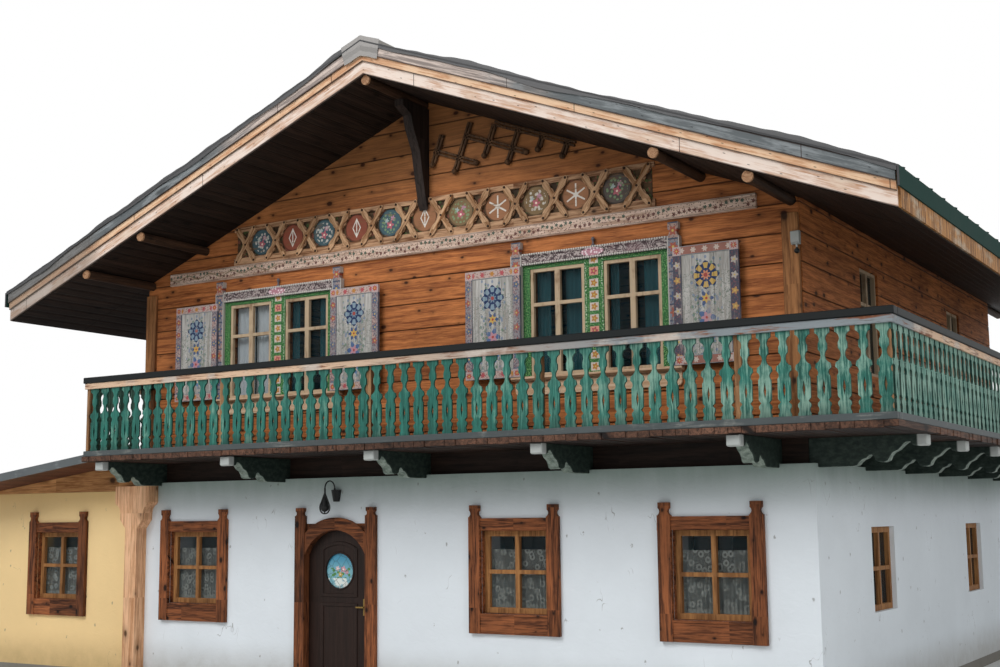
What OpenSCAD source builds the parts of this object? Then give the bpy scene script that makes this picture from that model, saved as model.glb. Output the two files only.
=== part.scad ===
// Alpine chalet: a plastered ground storey, a timber storey with a balcony on two
// sides, a low gable roof on round purlins, and a low wing against the left wall.
// Millimetres, +Z up. The front faces -Y. The origin lies on the ground, under the
// ridge, in the plane of the timber storey's front wall.

/* [Ground storey] */
// Thickness of the floor slab under the house
slab_t = 150; // [100:10:250]
// Height of the plastered walls above the slab
masonry_h = 2800; // [2600:10:3000]
// Thickness of the plastered walls
masonry_t = 450; // [300:10:550]
// How far the plastered walls stand out past the timber storey
ledge = 100; // [60:5:160]

/* [Timber storey] */
// Width of the timber storey across the front
house_w = 10500; // [9900:20:11100]
// Depth of the timber storey from front to back
house_d = 9720; // [8400:20:11000]
// Height of the timber side walls above the upper floor
timber_h = 2716; // [2500:2:2900]
// Thickness of the timber walls
timber_t = 180; // [140:5:240]
// Width of a corner post
corner_post_w = 200; // [140:5:260]
// How far a corner post stands out of the wall
corner_post_out = 60; // [30:5:90]
// Distance from the top of a corner post up to the first timber over it
corner_post_gap = 90; // [40:5:160]

/* [Front door] */
// Middle of the doorway, measured from the ridge line
door_x = -1430; // [-1700:10:-1200]
// Clear width of the doorway between its jambs
door_clear_w = 1054; // [900:2:1200]
// Height of the doorway at the top of its arch, above the slab
door_clear_h = 2084; // [1950:2:2200]
// Height of the door's upper panel above the slab
door_panel_h = 1180; // [1050:10:1300]
// Height of the door's handle above the slab
door_handle_h = 1050; // [950:10:1100]
// Height of the lower hinge above the slab
lower_hinge_h = 320; // [200:10:500]
// Distance from the start of the doorway's arch down to the upper hinge
upper_hinge_drop = 185; // [120:2:400]
// Rise of the arch over the doorway
door_arch_rise = 339; // [200:1:420]
// Thickness of the door leaf
door_t = 55; // [40:1:70]
// How far the leaf reaches past the clear opening, behind the frame
door_lap = 10; // [6:1:16]
// Gap between the leaf and whatever it closes against
door_gap = 8; // [6:1:12]
// Radius of the round glass in the door
door_glass_r = 235; // [180:1:270]
// Height of the middle of the door's glass above the slab
door_glass_h = 1530; // [1450:5:1600]
// Radius of a hinge pin
hinge_pin_r = 8; // [6:0.5:10]
// Play between a hinge pin and its eye
hinge_play = 0.3; // [0.1:0.05:0.5]

/* [Ground windows] */
// Width of a ground-floor window opening
ground_window_w = 980; // [800:10:1100]
// Height of a ground-floor window opening
ground_window_h = 1040; // [900:10:1200]
// Height of a ground-floor window opening above the slab
ground_sill_h = 1030; // [900:10:1150]
// Distance from the ridge line to the middle of the inner window
ground_window_inner_x = 1420; // [1300:10:1600]
// Distance from the ridge line to the middle of the outer windows
ground_window_outer_x = 4080; // [3900:10:4200]
// Height of the board below a ground-floor window
ground_apron_h = 250; // [150:5:300]
// Height of the lintel over a ground-floor window
ground_lintel_h = 155; // [110:5:190]
// Width of a surround post beside a window or the door
surround_post_w = 170; // [120:5:200]
// Height of the carved head of a surround post
surround_head_h = 150; // [90:5:180]
// Thickness of a surround post
surround_post_t = 60; // [40:5:90]
// How far the posts beside the door rise above its arch before their heads
door_post_rise = 196; // [150:2:230]

/* [Upper windows] */
// Width of an upper window opening
upper_window_w = 790; // [700:10:860]
// Height of an upper window opening
upper_window_h = 1390; // [1200:10:1450]
// Distance from the top of an upper window up to the cornice board
upper_head_drop = 408; // [380:2:440]
// Distance from the ridge line to the middle of a pair of upper windows
upper_pair_x = 2585; // [2500:5:2700]
// Width of the painted board between the two windows of a pair
mullion_w = 270; // [180:10:340]
// Width of the green boards on the far sides of a pair of upper windows
green_board_w = 105; // [80:5:130]
// Height of the painted lintel over a pair of upper windows
upper_lintel_h = 155; // [110:5:170]
// Width of a carved post beside a pair of upper windows
upper_post_w = 160; // [100:5:180]
// Height of the carved head of such a post
upper_post_head_h = 175; // [120:5:185]
// Height of the painted board under the sill of a pair of upper windows
upper_apron_h = 182; // [140:2:220]
// Width of a shutter
shutter_w = 840; // [700:10:900]
// Height of a shutter
shutter_h = 1430; // [1300:10:1500]
// Thickness of a shutter
shutter_t = 40; // [30:1:60]
// Width of a shutter's frame
shutter_frame_w = 110; // [80:5:140]
// Depth of a shutter's panel behind the face of its frame
shutter_recess = 14; // [8:1:20]

/* [Window frames] */
// Thickness of a casement frame
casement_t = 55; // [40:1:70]
// Thickness of the glass
glass_t = 8; // [4:1:12]
// Depth of the casements behind the face of the plaster
casement_setback = 60; // [30:5:120]

/* [Balcony] */
// Depth of the balcony in front of the house
balcony_front_d = 1350; // [1200:10:1400]
// Depth of the balcony beside the house
balcony_side_d = 1400; // [1200:10:1450]
// Height of one of the three stacked beams of a console
beam_h = 94; // [80:1:110]
// Width of a console
console_w = 160; // [120:5:200]
// How far the consoles reach below the top of the plastered walls
console_drop = 45; // [20:5:80]
// Distance from the edge of the deck back to the noses of the consoles
console_setback = 80; // [50:5:120]
// Distance from the house's corners to the outer consoles of the front
console_inset = 390; // [300:10:480]
// Distance between consoles along the side
side_console_pitch = 1780; // [1600:10:2000]
// Thickness of the deck planks and of the upper floor's boards
deck_t = 80; // [50:5:100]
// Height of the rail above the deck
rail_h = 1148; // [1050:2:1200]
// Thickness of the cap on the rail
rail_cap_t = 85; // [50:5:100]
// Width of the cap on the rail
rail_cap_w = 150; // [110:5:200]
// Height of the board on the face of the rail
rail_board_h = 85; // [60:5:120]
// Thickness of the board on the face of the rail
rail_board_t = 25; // [20:1:35]
// Height of the lower rail
lower_rail_h = 80; // [60:5:100]
// Width of the lower rail
lower_rail_w = 75; // [60:5:100]
// Distance between posts inside the rail
rail_post_pitch = 2475; // [2300:5:2500]
// Distance between balusters
baluster_pitch = 212.5; // [200:0.5:230]
// Thickness of a baluster board
baluster_t = 25; // [18:1:32]
// Width of a post inside the rail
rail_post_w = 90; // [70:5:120]

/* [Roof] */
// Pitch of the roof in degrees
roof_pitch = 21.4; // [20:0.1:23]
// Distance from the ridge line to the eave
roof_half_w = 6760; // [6500:10:6900]
// How far the roof reaches past the gable walls
verge_out = 1375; // [1200:5:1500]
// Thickness of the boarded roof, square to its slope
roof_t = 385; // [300:5:420]
// Thickness of the roof covering
roofing_t = 20; // [10:1:40]
// Height of the roof covering's turned-down edge at the eave
drip_h = 200; // [120:5:260]
// Thickness of the boards on the eaves and verges
edge_board_t = 26; // [20:1:40]
// Height of the grey board at the top of the verge
verge_top_h = 150; // [100:5:180]
// Height of the verge's middle board that shows below the grey one
verge_middle_h = 100; // [60:5:140]
// Radius of a purlin
purlin_r = 65; // [50:1:90]
// Distance from the ridge line to the middle purlins
purlin_middle_x = 4050; // [3700:10:4400]

/* [Gable front] */
// Gap between the ends of the pale cornice board and the roof above them
cornice_gap = 94; // [60:2:130]
// Height of the cornice board
cornice_h = 180; // [120:5:220]
// Distance from the ridge line to the end of the cornice board
cornice_half_w = 4750; // [4700:5:4800]
// Distance between the round panels of the frieze
frieze_pitch = 585; // [540:5:590]
// Radius of the round painted panels
frieze_panel_r = 195; // [160:1:205]
// Height of the frieze's lower rail
frieze_foot_h = 110; // [70:5:120]
// Height of the frieze between its rails
frieze_band_h = 400; // [380:5:410]
// Height of the frieze's upper rail
frieze_head_h = 65; // [40:5:70]
// Width of the scalloped boards that cross between the panels
cross_w = 88; // [70:2:100]
// Half the distance between the feet of two crossed boards
cross_half_w = 165; // [140:5:180]
// Depth of the bracket under the ridge, at its top
bracket_reach = 620; // [450:10:700]

/* [Wing] */
// Width of the wing, from the wall of the house to its far side
wing_w = 3400; // [3000:20:3800]
// Depth of the wing
wing_d = 4800; // [4000:20:5600]
// Thickness of the wing's walls
wing_wall_t = 300; // [200:10:400]
// Distance from the top of the house's plastered walls down to the foot of the wing's beam
wing_beam_drop = 110; // [60:5:200]
// Height of the wing's roof above the upper floor, where it meets the house
wing_roof_rise = 98; // [60:2:140]
// Width of the carved post between the house and the wing
wing_post_w = 245; // [180:5:300]
// Width of the carved post's head
wing_capital_w = 706; // [600:2:760]
// How far the carved post stands out of the wall
wing_post_out = 200; // [120:5:260]
// Pitch of the wing's roof in degrees
wing_pitch = 7; // [4:0.5:8]
// Thickness of the wing's roof
wing_roof_t = 110; // [80:5:160]
// How far the wing's roof reaches past its front wall
wing_roof_out = 800; // [500:10:900]
// How far the wing's roof reaches past its far side
wing_eave_out = 400; // [200:10:500]

/* [Hidden] */

$fn = 48;
seam = 0.5;
seat_gap = 0.3;

masonry_half_w = house_w / 2 + ledge;
masonry_top = slab_t + masonry_h;
beams_top = masonry_top + 3 * beam_h;
floor_z = beams_top + deck_t;
house_half_w = house_w / 2;

slope = tan(roof_pitch);
seat_v = seat_gap / cos(roof_pitch);
roofing_v = roofing_t / cos(roof_pitch);
roof_v = roof_t / cos(roof_pitch);
ridge_h = floor_z + timber_h + house_half_w * slope + roof_v + roofing_v + 2 * seat_v;

// Heights at a distance x from the ridge line, from the covering down to the walls
function roof_top(x) = ridge_h - abs(x) * slope;
function roofing_under(x) = roof_top(x) - roofing_v;
function deck_top(x) = roofing_under(x) - seat_v;
function roof_under(x) = deck_top(x) - roof_v;
function wall_top(x) = roof_under(x) - seat_v;
function purlin_z(x) = roof_under(x) - seat_v - purlin_r / cos(roof_pitch);

purlin_x = [
    0, purlin_middle_x, -purlin_middle_x,
    house_half_w - timber_t / 2, timber_t / 2 - house_half_w
];
purlin_setback = 20;

door_half_w = door_clear_w / 2;
door_top = slab_t + door_clear_h;
door_arch_r = (pow(door_half_w, 2) + pow(door_arch_rise, 2)) / (2 * door_arch_rise);
door_arch_z = door_top - door_arch_r;
door_jamb_t = 55;
doorway_half_w = door_half_w + door_lap + door_gap + door_jamb_t;
doorway_top = door_top + door_lap + door_gap + 70;
frame_front_t = 60;
frame_y = -ledge;
leaf_y = frame_y + frame_front_t + 5;
leaf_back_y = leaf_y + door_t;
hinge_eye_r = 12;
hinge_x = door_x - door_half_w - door_lap - 4;
hinge_y = leaf_back_y + hinge_eye_r + 2;
hinge_h = 40;
door_spring_z = door_top - door_arch_rise;
hinge_z = [slab_t + lower_hinge_h, door_spring_z - upper_hinge_drop];
strap_t = 8;
strap_l = 260;
door_stile_w = 212;
door_head_w = 158;
door_rail_w = 80;
door_foot_w = 180;

front_ground_windows = [-ground_window_outer_x, ground_window_inner_x, ground_window_outer_x];
back_ground_windows = [-ground_window_outer_x, 0, ground_window_outer_x];
side_ground_windows = [2400, 7300];
ground_sill_z = slab_t + ground_sill_h;
ground_lintel_z = ground_sill_z + ground_window_h;
window_shoulder_z = ground_lintel_z + ground_lintel_h + 15;
door_shoulder_z = door_top + door_post_rise;

upper_step = (upper_window_w + mullion_w) / 2;
front_upper_windows = [for (s = [-1, 1]) for (t = [-1, 1]) s * upper_pair_x + t * upper_step];
side_upper_windows = [2600, 7100];
cornice_z = roof_under(cornice_half_w) - cornice_gap - cornice_h;
upper_top_z = cornice_z - upper_head_drop;
upper_sill_z = upper_top_z - upper_window_h;
upper_board_t = 40;
front_sash_y = 10 - upper_board_t;
plain_sash_y = 20;
upper_post_t = 85;
upper_board_half_w = upper_step + upper_window_w / 2 + green_board_w;
upper_border_h = 50;
upper_frame_z = upper_sill_z - upper_border_h;
upper_lintel_z = upper_top_z + upper_border_h;
shutter_lap = 75;
upper_apron_t = 45;

balcony_left = house_half_w - 100;
balcony_right = house_half_w + balcony_side_d;
cap_top = floor_z + rail_h;
cap_z = cap_top - rail_cap_t;
board_z = cap_z - rail_board_h;
lower_rail_top = floor_z + lower_rail_h;
baluster_h = cap_z - lower_rail_top;
console_foot_z = masonry_top - console_drop;
front_console_pitch = (house_half_w - console_inset) / 2;
side_console_count = floor((house_d - console_w) / side_console_pitch);

wing_left = masonry_half_w + wing_w;
wing_slope = tan(wing_pitch);
wing_roof_v = wing_roof_t / cos(wing_pitch);
function wing_top(x) = floor_z + wing_roof_rise + (x + house_half_w) * wing_slope;
function wing_under(x) = wing_top(x) - wing_roof_v;
function wing_wall_under(x) = wing_under(x) - seat_gap;
wing_wall_top = masonry_top - wing_beam_drop;
wing_window_x = -masonry_half_w - wing_w / 2 + 30;

// A shape drawn in X and Z, made into a slab from y0 towards the back
module upright(y0, t) {
    translate([0, y0 + t, 0]) rotate([90, 0, 0]) linear_extrude(t) children();
}

// A shape drawn in Y and Z, made into a slab from x0 towards the right
module sideways(x0, t) {
    translate([x0, 0, 0]) rotate([90, 0, 90]) linear_extrude(t) children();
}

module rect(x0, x1, z0, z1) {
    translate([x0, z0]) square([x1 - x0, z1 - z0]);
}

module block(x0, x1, y0, y1, z0, z1) {
    translate([x0, y0, z0]) cube([x1 - x0, y1 - y0, z1 - z0]);
}

// Each places what is drawn for the front wall on another wall of the house
module on_back() {
    translate([0, house_d, 0]) rotate([0, 0, 180]) children();
}

module on_right() {
    translate([house_half_w, 0, 0]) rotate([0, 0, 90]) children();
}

module on_left() {
    translate([-house_half_w, 0, 0]) mirror([1, 0, 0]) rotate([0, 0, 90]) children();
}

// Plastered walls and slabs
module ground_slab() {
    color("gray") {
        block(-masonry_half_w, masonry_half_w, -ledge, house_d + ledge, 0, slab_t);
        block(-wing_left, -masonry_half_w, -ledge, wing_d - ledge, 0, slab_t);
    }
}

module ground_openings(centres) {
    for (x = centres)
        rect(x - ground_window_w / 2, x + ground_window_w / 2,
            ground_sill_z, ground_sill_z + ground_window_h);
}

module front_wall_left() {
    color("whitesmoke") upright(-ledge, masonry_t) difference() {
        rect(-masonry_half_w, door_x - doorway_half_w, slab_t, masonry_top);
        ground_openings([front_ground_windows[0]]);
    }
}

module front_wall_right() {
    color("whitesmoke") upright(-ledge, masonry_t) difference() {
        rect(door_x + doorway_half_w, masonry_half_w, slab_t, masonry_top);
        ground_openings([front_ground_windows[1], front_ground_windows[2]]);
    }
}

module front_wall_over_door() {
    color("whitesmoke") upright(-ledge, masonry_t)
        rect(door_x - doorway_half_w, door_x + doorway_half_w, doorway_top, masonry_top);
}

module masonry_side(x0, centres) {
    color("whitesmoke") sideways(x0, masonry_t) difference() {
        rect(masonry_t - ledge, house_d + ledge - masonry_t, slab_t, masonry_top);
        ground_openings(centres);
    }
}

module left_wall() {
    masonry_side(-masonry_half_w, [side_ground_windows[1]]);
}

module right_wall() {
    masonry_side(masonry_half_w - masonry_t, side_ground_windows);
}

module back_wall() {
    color("whitesmoke") upright(house_d + ledge - masonry_t, masonry_t) difference() {
        rect(-masonry_half_w, masonry_half_w, slab_t, masonry_top);
        ground_openings(back_ground_windows);
    }
}

// Front door
module door_arch(grow) {
    half_w = door_half_w + grow;
    arch_r = door_arch_r + grow;
    spring_z = door_arch_z + sqrt(pow(arch_r, 2) - pow(half_w, 2));
    rect(door_x - half_w, door_x + half_w, slab_t, spring_z);
    intersection() {
        translate([door_x, door_arch_z]) circle(arch_r);
        rect(door_x - half_w, door_x + half_w, door_arch_z, door_arch_z + 2 * arch_r);
    }
}

// A post with a waisted head, drawn with its foot at z0 and its shoulder at z1
module headed_post(x, w, z0, z1, head_h) {
    neck = w * 0.3;
    head = w * 0.42;
    rect(x - w / 2, x + w / 2, z0, z1);
    translate([x, z1]) difference() {
        rect(-head, head, 0, head_h);
        for (s = [-1, 1]) translate([s * (neck + head_h * 0.3), head_h * 0.3]) circle(head_h * 0.3);
    }
}

module door_frame() {
    post_x = door_half_w + surround_post_w / 2;
    jamb_x = door_half_w + door_lap + door_gap;
    color("saddlebrown") {
        upright(frame_y, frame_front_t) difference() {
            rect(door_x - doorway_half_w, door_x + doorway_half_w, slab_t, doorway_top);
            door_arch(0);
        }
        for (s = [-1, 1])
            upright(frame_y - surround_post_t, surround_post_t)
                headed_post(door_x + s * post_x, surround_post_w, slab_t, door_shoulder_z,
                    surround_head_h - 40);
        upright(frame_y - surround_post_t + 10, surround_post_t - 10) intersection() {
            difference() {
                translate([door_x, door_arch_z]) circle(door_arch_r + surround_post_w);
                door_arch(0);
            }
            rect(door_x - door_half_w, door_x + door_half_w, door_arch_z, masonry_top);
        }
        for (s = [-1, 1])
            block(door_x + s * (jamb_x + door_jamb_t / 2) - door_jamb_t / 2,
                door_x + s * (jamb_x + door_jamb_t / 2) + door_jamb_t / 2,
                frame_y + frame_front_t, leaf_back_y, slab_t, doorway_top);
        block(door_x - jamb_x, door_x + jamb_x, frame_y + frame_front_t, leaf_back_y,
            door_top + door_lap + door_gap, doorway_top);
    }
}

module door_hinge_pins() {
    foot_x = door_x - door_half_w - door_lap - door_gap - 10;
    plate_w = 30;
    collar_h = 34;
    color("dimgray") for (z = hinge_z) {
        translate([hinge_x, hinge_y, z - collar_h]) cylinder(r = hinge_eye_r, h = collar_h - seam);
        translate([hinge_x, hinge_y, z - collar_h])
            cylinder(r = hinge_pin_r, h = collar_h + hinge_h + 6);
        block(foot_x - plate_w, hinge_x, hinge_y - hinge_eye_r, hinge_y + hinge_eye_r,
            z - collar_h, z - 4);
        block(foot_x - plate_w, foot_x, leaf_back_y, leaf_back_y + strap_t, z - 60, z + 20);
    }
}

module door_leaf() {
    moulding_w = 45;
    moulding_t = 14;
    ring_w = 24;
    panel_half_w = door_half_w - door_stile_w;
    panel_top = door_top - door_head_w;
    panel_foot = slab_t + door_panel_h;
    lower_foot = slab_t + door_foot_w;
    lower_top = panel_foot - door_rail_w;
    color("#2c1c14") {
        upright(leaf_y, door_t) difference() {
            intersection() {
                door_arch(door_lap);
                rect(door_x - doorway_half_w, door_x + doorway_half_w, slab_t + door_gap,
                    masonry_top);
            }
            translate([door_x, slab_t + door_glass_h]) circle(door_glass_r);
        }
        upright(leaf_y - moulding_t, moulding_t) {
            difference() {
                arched_panel(panel_half_w, panel_foot, panel_top);
                arched_panel(panel_half_w - moulding_w, panel_foot + moulding_w,
                    panel_top - moulding_w);
            }
            difference() {
                rect(door_x - panel_half_w, door_x + panel_half_w, lower_foot, lower_top);
                rect(door_x - panel_half_w + moulding_w, door_x + panel_half_w - moulding_w,
                    lower_foot + moulding_w, lower_top - moulding_w);
            }
        }
        upright(leaf_y - 10, 10) translate([door_x, slab_t + door_glass_h]) difference() {
            circle(door_glass_r + ring_w);
            circle(door_glass_r);
        }
    }
}

// A panel with an arched head that follows the curve of the doorway
module arched_panel(half_w, z0, z1) {
    intersection() {
        rect(door_x - half_w, door_x + half_w, z0, z1);
        translate([door_x, z1 - door_arch_r]) circle(door_arch_r);
    }
}

module door_hinge_straps() {
    color("dimgray") for (z = hinge_z) difference() {
        union() {
            translate([hinge_x, hinge_y, z]) cylinder(r = hinge_eye_r, h = hinge_h);
            block(hinge_x, hinge_x + strap_l, leaf_back_y, leaf_back_y + strap_t, z, z + hinge_h);
        }
        translate([hinge_x, hinge_y, z - 1])
            cylinder(r = hinge_pin_r + hinge_play, h = hinge_h + 2);
    }
}

module door_glass() {
    color("lightskyblue") translate([door_x, leaf_y + door_t / 2 + glass_t / 2, slab_t + door_glass_h])
        rotate([90, 0, 0]) cylinder(r = door_glass_r - seat_gap, h = glass_t);
}

module door_handle() {
    x = door_x + door_half_w - 90;
    z = slab_t + door_handle_h;
    plate = [22, 110];
    reach = 50;
    bar_r = 9;
    bar_t = 14;
    color("darkgoldenrod") {
        block(x - plate[0], x + plate[0], leaf_y - 6, leaf_y, z - plate[1], z + plate[1]);
        translate([x, leaf_y, z]) rotate([90, 0, 0]) cylinder(r = bar_r, h = reach);
        block(x - 120, x + bar_r, leaf_y - reach, leaf_y - reach + bar_t, z - bar_r, z + bar_r);
        block(x - plate[0], x + plate[0], leaf_back_y, leaf_back_y + 6, z - plate[1],
            z + plate[1]);
        translate([x, leaf_back_y + reach, z]) rotate([90, 0, 0]) cylinder(r = bar_r, h = reach);
        block(x - 120, x + bar_r, leaf_back_y + reach - bar_t, leaf_back_y + reach, z - bar_r,
            z + bar_r);
    }
}

// A drop with its round foot at the middle and its tip at the height tip
module drop(r, tip) {
    a = acos(r / tip);
    circle(r);
    polygon([[r * sin(a), r * cos(a)], [0, tip], [-r * sin(a), r * cos(a)]]);
}

// An arm that curls out of a cup on the wall and carries a lantern in a ring
module wall_lamp() {
    cup_z = masonry_top - 250;
    arm_r = 105;
    arm_y = -ledge - 50;
    ring_y = arm_y - 2 * arm_r;
    ring_r = 92;
    tip = 215;
    ring_z = cup_z + 55 - tip;
    color("#303030") {
        intersection() {
            translate([door_x, -ledge, cup_z - 80]) cylinder(r1 = 50, r2 = 80, h = 160);
            block(door_x - 100, door_x + 100, -ledge - 100, -ledge, cup_z - 100, cup_z + 100);
        }
        translate([door_x, arm_y, cup_z + 70]) cylinder(r = 12, h = 35);
        translate([door_x, arm_y - arm_r, cup_z + 95]) rotate([90, 0, 90])
            rotate_extrude(angle = 180) translate([arm_r, 0]) circle(9);
        translate([door_x, ring_y, ring_z + tip - 30]) cylinder(r = 12, h = 75);
        upright(ring_y - 7, 14) translate([door_x, ring_z]) difference() {
            drop(ring_r, tip);
            drop(ring_r - 15, tip - 32);
        }
        translate([door_x, ring_y, ring_z - ring_r + 8]) cylinder(r = 9, h = 60);
        translate([door_x, ring_y, ring_z]) sphere(58);
        translate([door_x, ring_y, ring_z + 30]) cylinder(r1 = 50, r2 = 11, h = 120);
        translate([door_x, ring_y, ring_z + 140]) cylinder(r = 6, h = 60);
    }
}

// Ground-floor windows
module window_surround(x) {
    half_w = ground_window_w / 2;
    post_x = half_w + surround_post_w / 2;
    foot_z = ground_sill_z - ground_apron_h;
    color("sienna") {
        for (s = [-1, 1])
            upright(-ledge - surround_post_t, surround_post_t)
                headed_post(x + s * post_x, surround_post_w, foot_z, window_shoulder_z,
                    surround_head_h);
        upright(-ledge - 40, 40)
            rect(x - half_w, x + half_w, ground_lintel_z, ground_lintel_z + ground_lintel_h);
        upright(-ledge - 45, 45) rect(x - half_w, x + half_w, foot_z, ground_sill_z - 28);
        upright(-ledge - 55, 55) rect(x - half_w, x + half_w, ground_sill_z - 28, ground_sill_z);
    }
}

module window_surrounds() {
    for (x = concat(front_ground_windows, [wing_window_x])) window_surround(x);
}

// Four lights: two leaves side by side, with a bar across them
module lights(w, h, border, middle, bar_z, bar_t) {
    half = (w / 2 - border - middle / 2) / 2;
    for (s = [-1, 1]) for (z = [[border, bar_z - bar_t / 2], [bar_z + bar_t / 2, h - border]])
        rect(s * (middle / 2 + half) - half, s * (middle / 2 + half) + half, z[0], z[1]);
}

module ground_casement(x) {
    border = 75;
    middle = 60;
    bar = 50;
    color("peru") upright(casement_setback - ledge, casement_t)
        translate([x, ground_sill_z]) difference() {
            rect(-ground_window_w / 2, ground_window_w / 2, 0, ground_window_h);
            lights(ground_window_w, ground_window_h, border, middle, ground_window_h / 2, bar);
        }
}

module ground_pane(x) {
    inset = 20;
    color("lightcyan") upright(casement_setback - ledge + casement_t, glass_t)
        rect(x - ground_window_w / 2 + inset, x + ground_window_w / 2 - inset,
            ground_sill_z + inset, ground_sill_z + ground_window_h - inset);
}

module ground_casements() {
    for (x = concat(front_ground_windows, [wing_window_x])) ground_casement(x);
    on_back() for (x = back_ground_windows) ground_casement(x);
    on_right() for (x = side_ground_windows) ground_casement(x);
    on_left() ground_casement(side_ground_windows[1]);
}

module ground_glass() {
    for (x = concat(front_ground_windows, [wing_window_x])) ground_pane(x);
    on_back() for (x = back_ground_windows) ground_pane(x);
    on_right() for (x = side_ground_windows) ground_pane(x);
    on_left() ground_pane(side_ground_windows[1]);
}

// Timber storey
module upper_floor() {
    color("burlywood") block(-house_half_w, house_half_w, 0, house_d, masonry_top, floor_z);
}

module upper_openings(centres) {
    for (x = centres)
        rect(x - upper_window_w / 2, x + upper_window_w / 2, upper_sill_z, upper_top_z);
}

module gable_shape() {
    polygon([
        [-house_half_w, floor_z], [house_half_w, floor_z],
        [house_half_w, wall_top(house_half_w)], [0, wall_top(0)],
        [-house_half_w, wall_top(house_half_w)]
    ]);
}

module purlin_holes() {
    for (x = purlin_x) translate([x, purlin_z(x)]) circle(purlin_r + seat_gap);
}

module upper_front_wall() {
    color("peru") upright(0, timber_t) difference() {
        gable_shape();
        upper_openings(front_upper_windows);
        purlin_holes();
    }
}

module upper_back_wall() {
    color("peru") upright(house_d - timber_t, timber_t) difference() {
        gable_shape();
        upper_openings(front_upper_windows);
        purlin_holes();
    }
}

module timber_side(side) {
    outer = side * house_half_w;
    inner = side * (house_half_w - timber_t);
    plate_x = side * (house_half_w - timber_t / 2);
    color("peru") difference() {
        upright(timber_t, house_d - 2 * timber_t) difference() {
            polygon([
                [outer, floor_z], [outer, wall_top(outer)],
                [inner, wall_top(inner)], [inner, floor_z]
            ]);
            translate([plate_x, purlin_z(plate_x)]) circle(purlin_r + seat_gap);
        }
        for (y = side_upper_windows)
            block(min(outer, inner) - 10, max(outer, inner) + 10, y - upper_window_w / 2,
                y + upper_window_w / 2, upper_sill_z, upper_top_z);
    }
}

module upper_left_wall() {
    timber_side(-1);
}

module upper_right_wall() {
    timber_side(1);
}

plate_under = purlin_z(house_half_w - timber_t / 2) - purlin_r;
corner_post_top = min(cornice_z, plate_under) - corner_post_gap;

module corner_posts() {
    color("sienna") for (s = [-1, 1])
        block(s * (house_half_w - corner_post_w / 2) - corner_post_w / 2,
            s * (house_half_w - corner_post_w / 2) + corner_post_w / 2,
            -corner_post_out, 0, floor_z, corner_post_top);
}

// A small boxed lamp on the outer edge of the right corner post, with a round eye under it
module post_lamp() {
    lamp_w = 100;
    lamp_h = 155;
    lamp_d = 70;
    x = house_half_w - 20;
    foot_z = corner_post_top - 388;
    eye = [x + 10, -corner_post_out - lamp_d / 2, foot_z - 75];
    color("silver") {
        sideways(x - lamp_w / 2, lamp_w) translate([-corner_post_out, foot_z]) polygon([
            [0, 0], [22 - lamp_d, 0], [-lamp_d, 26], [-lamp_d, lamp_h - 12],
            [12 - lamp_d, lamp_h], [0, lamp_h]
        ]);
        translate(eye) cylinder(r = 12, h = 80);
        translate(eye) sphere(r = 32);
    }
}

// Painted boards round each pair of upper windows
module upper_window_boards() {
    inner = upper_step - upper_window_w / 2;
    outer = upper_step + upper_window_w / 2;
    color("darkseagreen") for (s = [-1, 1]) upright(-upper_board_t, upper_board_t)
        translate([s * upper_pair_x, 0]) {
            rect(-upper_board_half_w, upper_board_half_w, upper_top_z + seam, upper_lintel_z);
            rect(-inner, inner, upper_sill_z, upper_top_z);
            for (t = [-1, 1])
                rect(t * (outer + green_board_w / 2) - green_board_w / 2,
                    t * (outer + green_board_w / 2) + green_board_w / 2,
                    upper_sill_z, upper_top_z);
        }
}

// The board under the sill, with its lower corners rounded
module apron_shape(half_w) {
    corner_r = 60;
    rect(-half_w, half_w, corner_r - upper_apron_h, 1);
    rect(corner_r - half_w, half_w - corner_r, -upper_apron_h, 1);
    for (s = [-1, 1]) translate([s * (half_w - corner_r), corner_r - upper_apron_h]) circle(corner_r);
}

module upper_window_posts() {
    shoulder_z = upper_lintel_z + upper_lintel_h - 15;
    half_w = upper_board_half_w;
    color("steelblue") for (s = [-1, 1]) translate([s * upper_pair_x, 0, 0]) {
        for (t = [-1, 1])
            upright(-upper_post_t, upper_post_t)
                headed_post(t * (half_w + upper_post_w / 2), upper_post_w, upper_frame_z,
                    shoulder_z, upper_post_head_h);
        sideways(-half_w, 2 * half_w) translate([0, upper_lintel_z]) polygon([
            [0, 0], [10 - upper_post_t, 0], [10 - upper_post_t, upper_lintel_h - 50],
            [-upper_post_t, upper_lintel_h - 40], [-upper_post_t, upper_lintel_h - 12],
            [20 - upper_post_t, upper_lintel_h], [0, upper_lintel_h]
        ]);
        sideways(-half_w - upper_post_w, 2 * (half_w + upper_post_w))
            translate([0, upper_sill_z]) polygon([
                [0, 0], [-upper_post_t - 30, 0], [-upper_post_t - 30, 24 - upper_border_h],
                [-upper_post_t, -upper_border_h], [0, -upper_border_h]
            ]);
        upright(-upper_apron_t, upper_apron_t) translate([0, upper_frame_z])
            apron_shape(half_w + upper_post_w - 33);
        translate([0, -upper_post_t / 2, upper_lintel_z + upper_lintel_h]) rotate_extrude()
            polygon([
                [0, 0], [24, 0], [24, 14], [12, 26], [12, 60], [24, 78], [20, 104], [0, 118]
            ]);
    }
}

module upper_sash(x, y) {
    border = 45;
    middle = 74;
    upper_light_h = 465;
    color("tan") upright(y, casement_t)
        translate([x, upper_sill_z]) difference() {
            rect(-upper_window_w / 2, upper_window_w / 2, 0, upper_window_h);
            lights(upper_window_w, upper_window_h, border, middle,
                upper_window_h - upper_light_h, border);
        }
}

module upper_pane(x, y) {
    inset = 15;
    color("lightcyan") upright(y + casement_t, glass_t)
        rect(x - upper_window_w / 2 + inset, x + upper_window_w / 2 - inset,
            upper_sill_z + inset, upper_top_z - inset);
}

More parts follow.
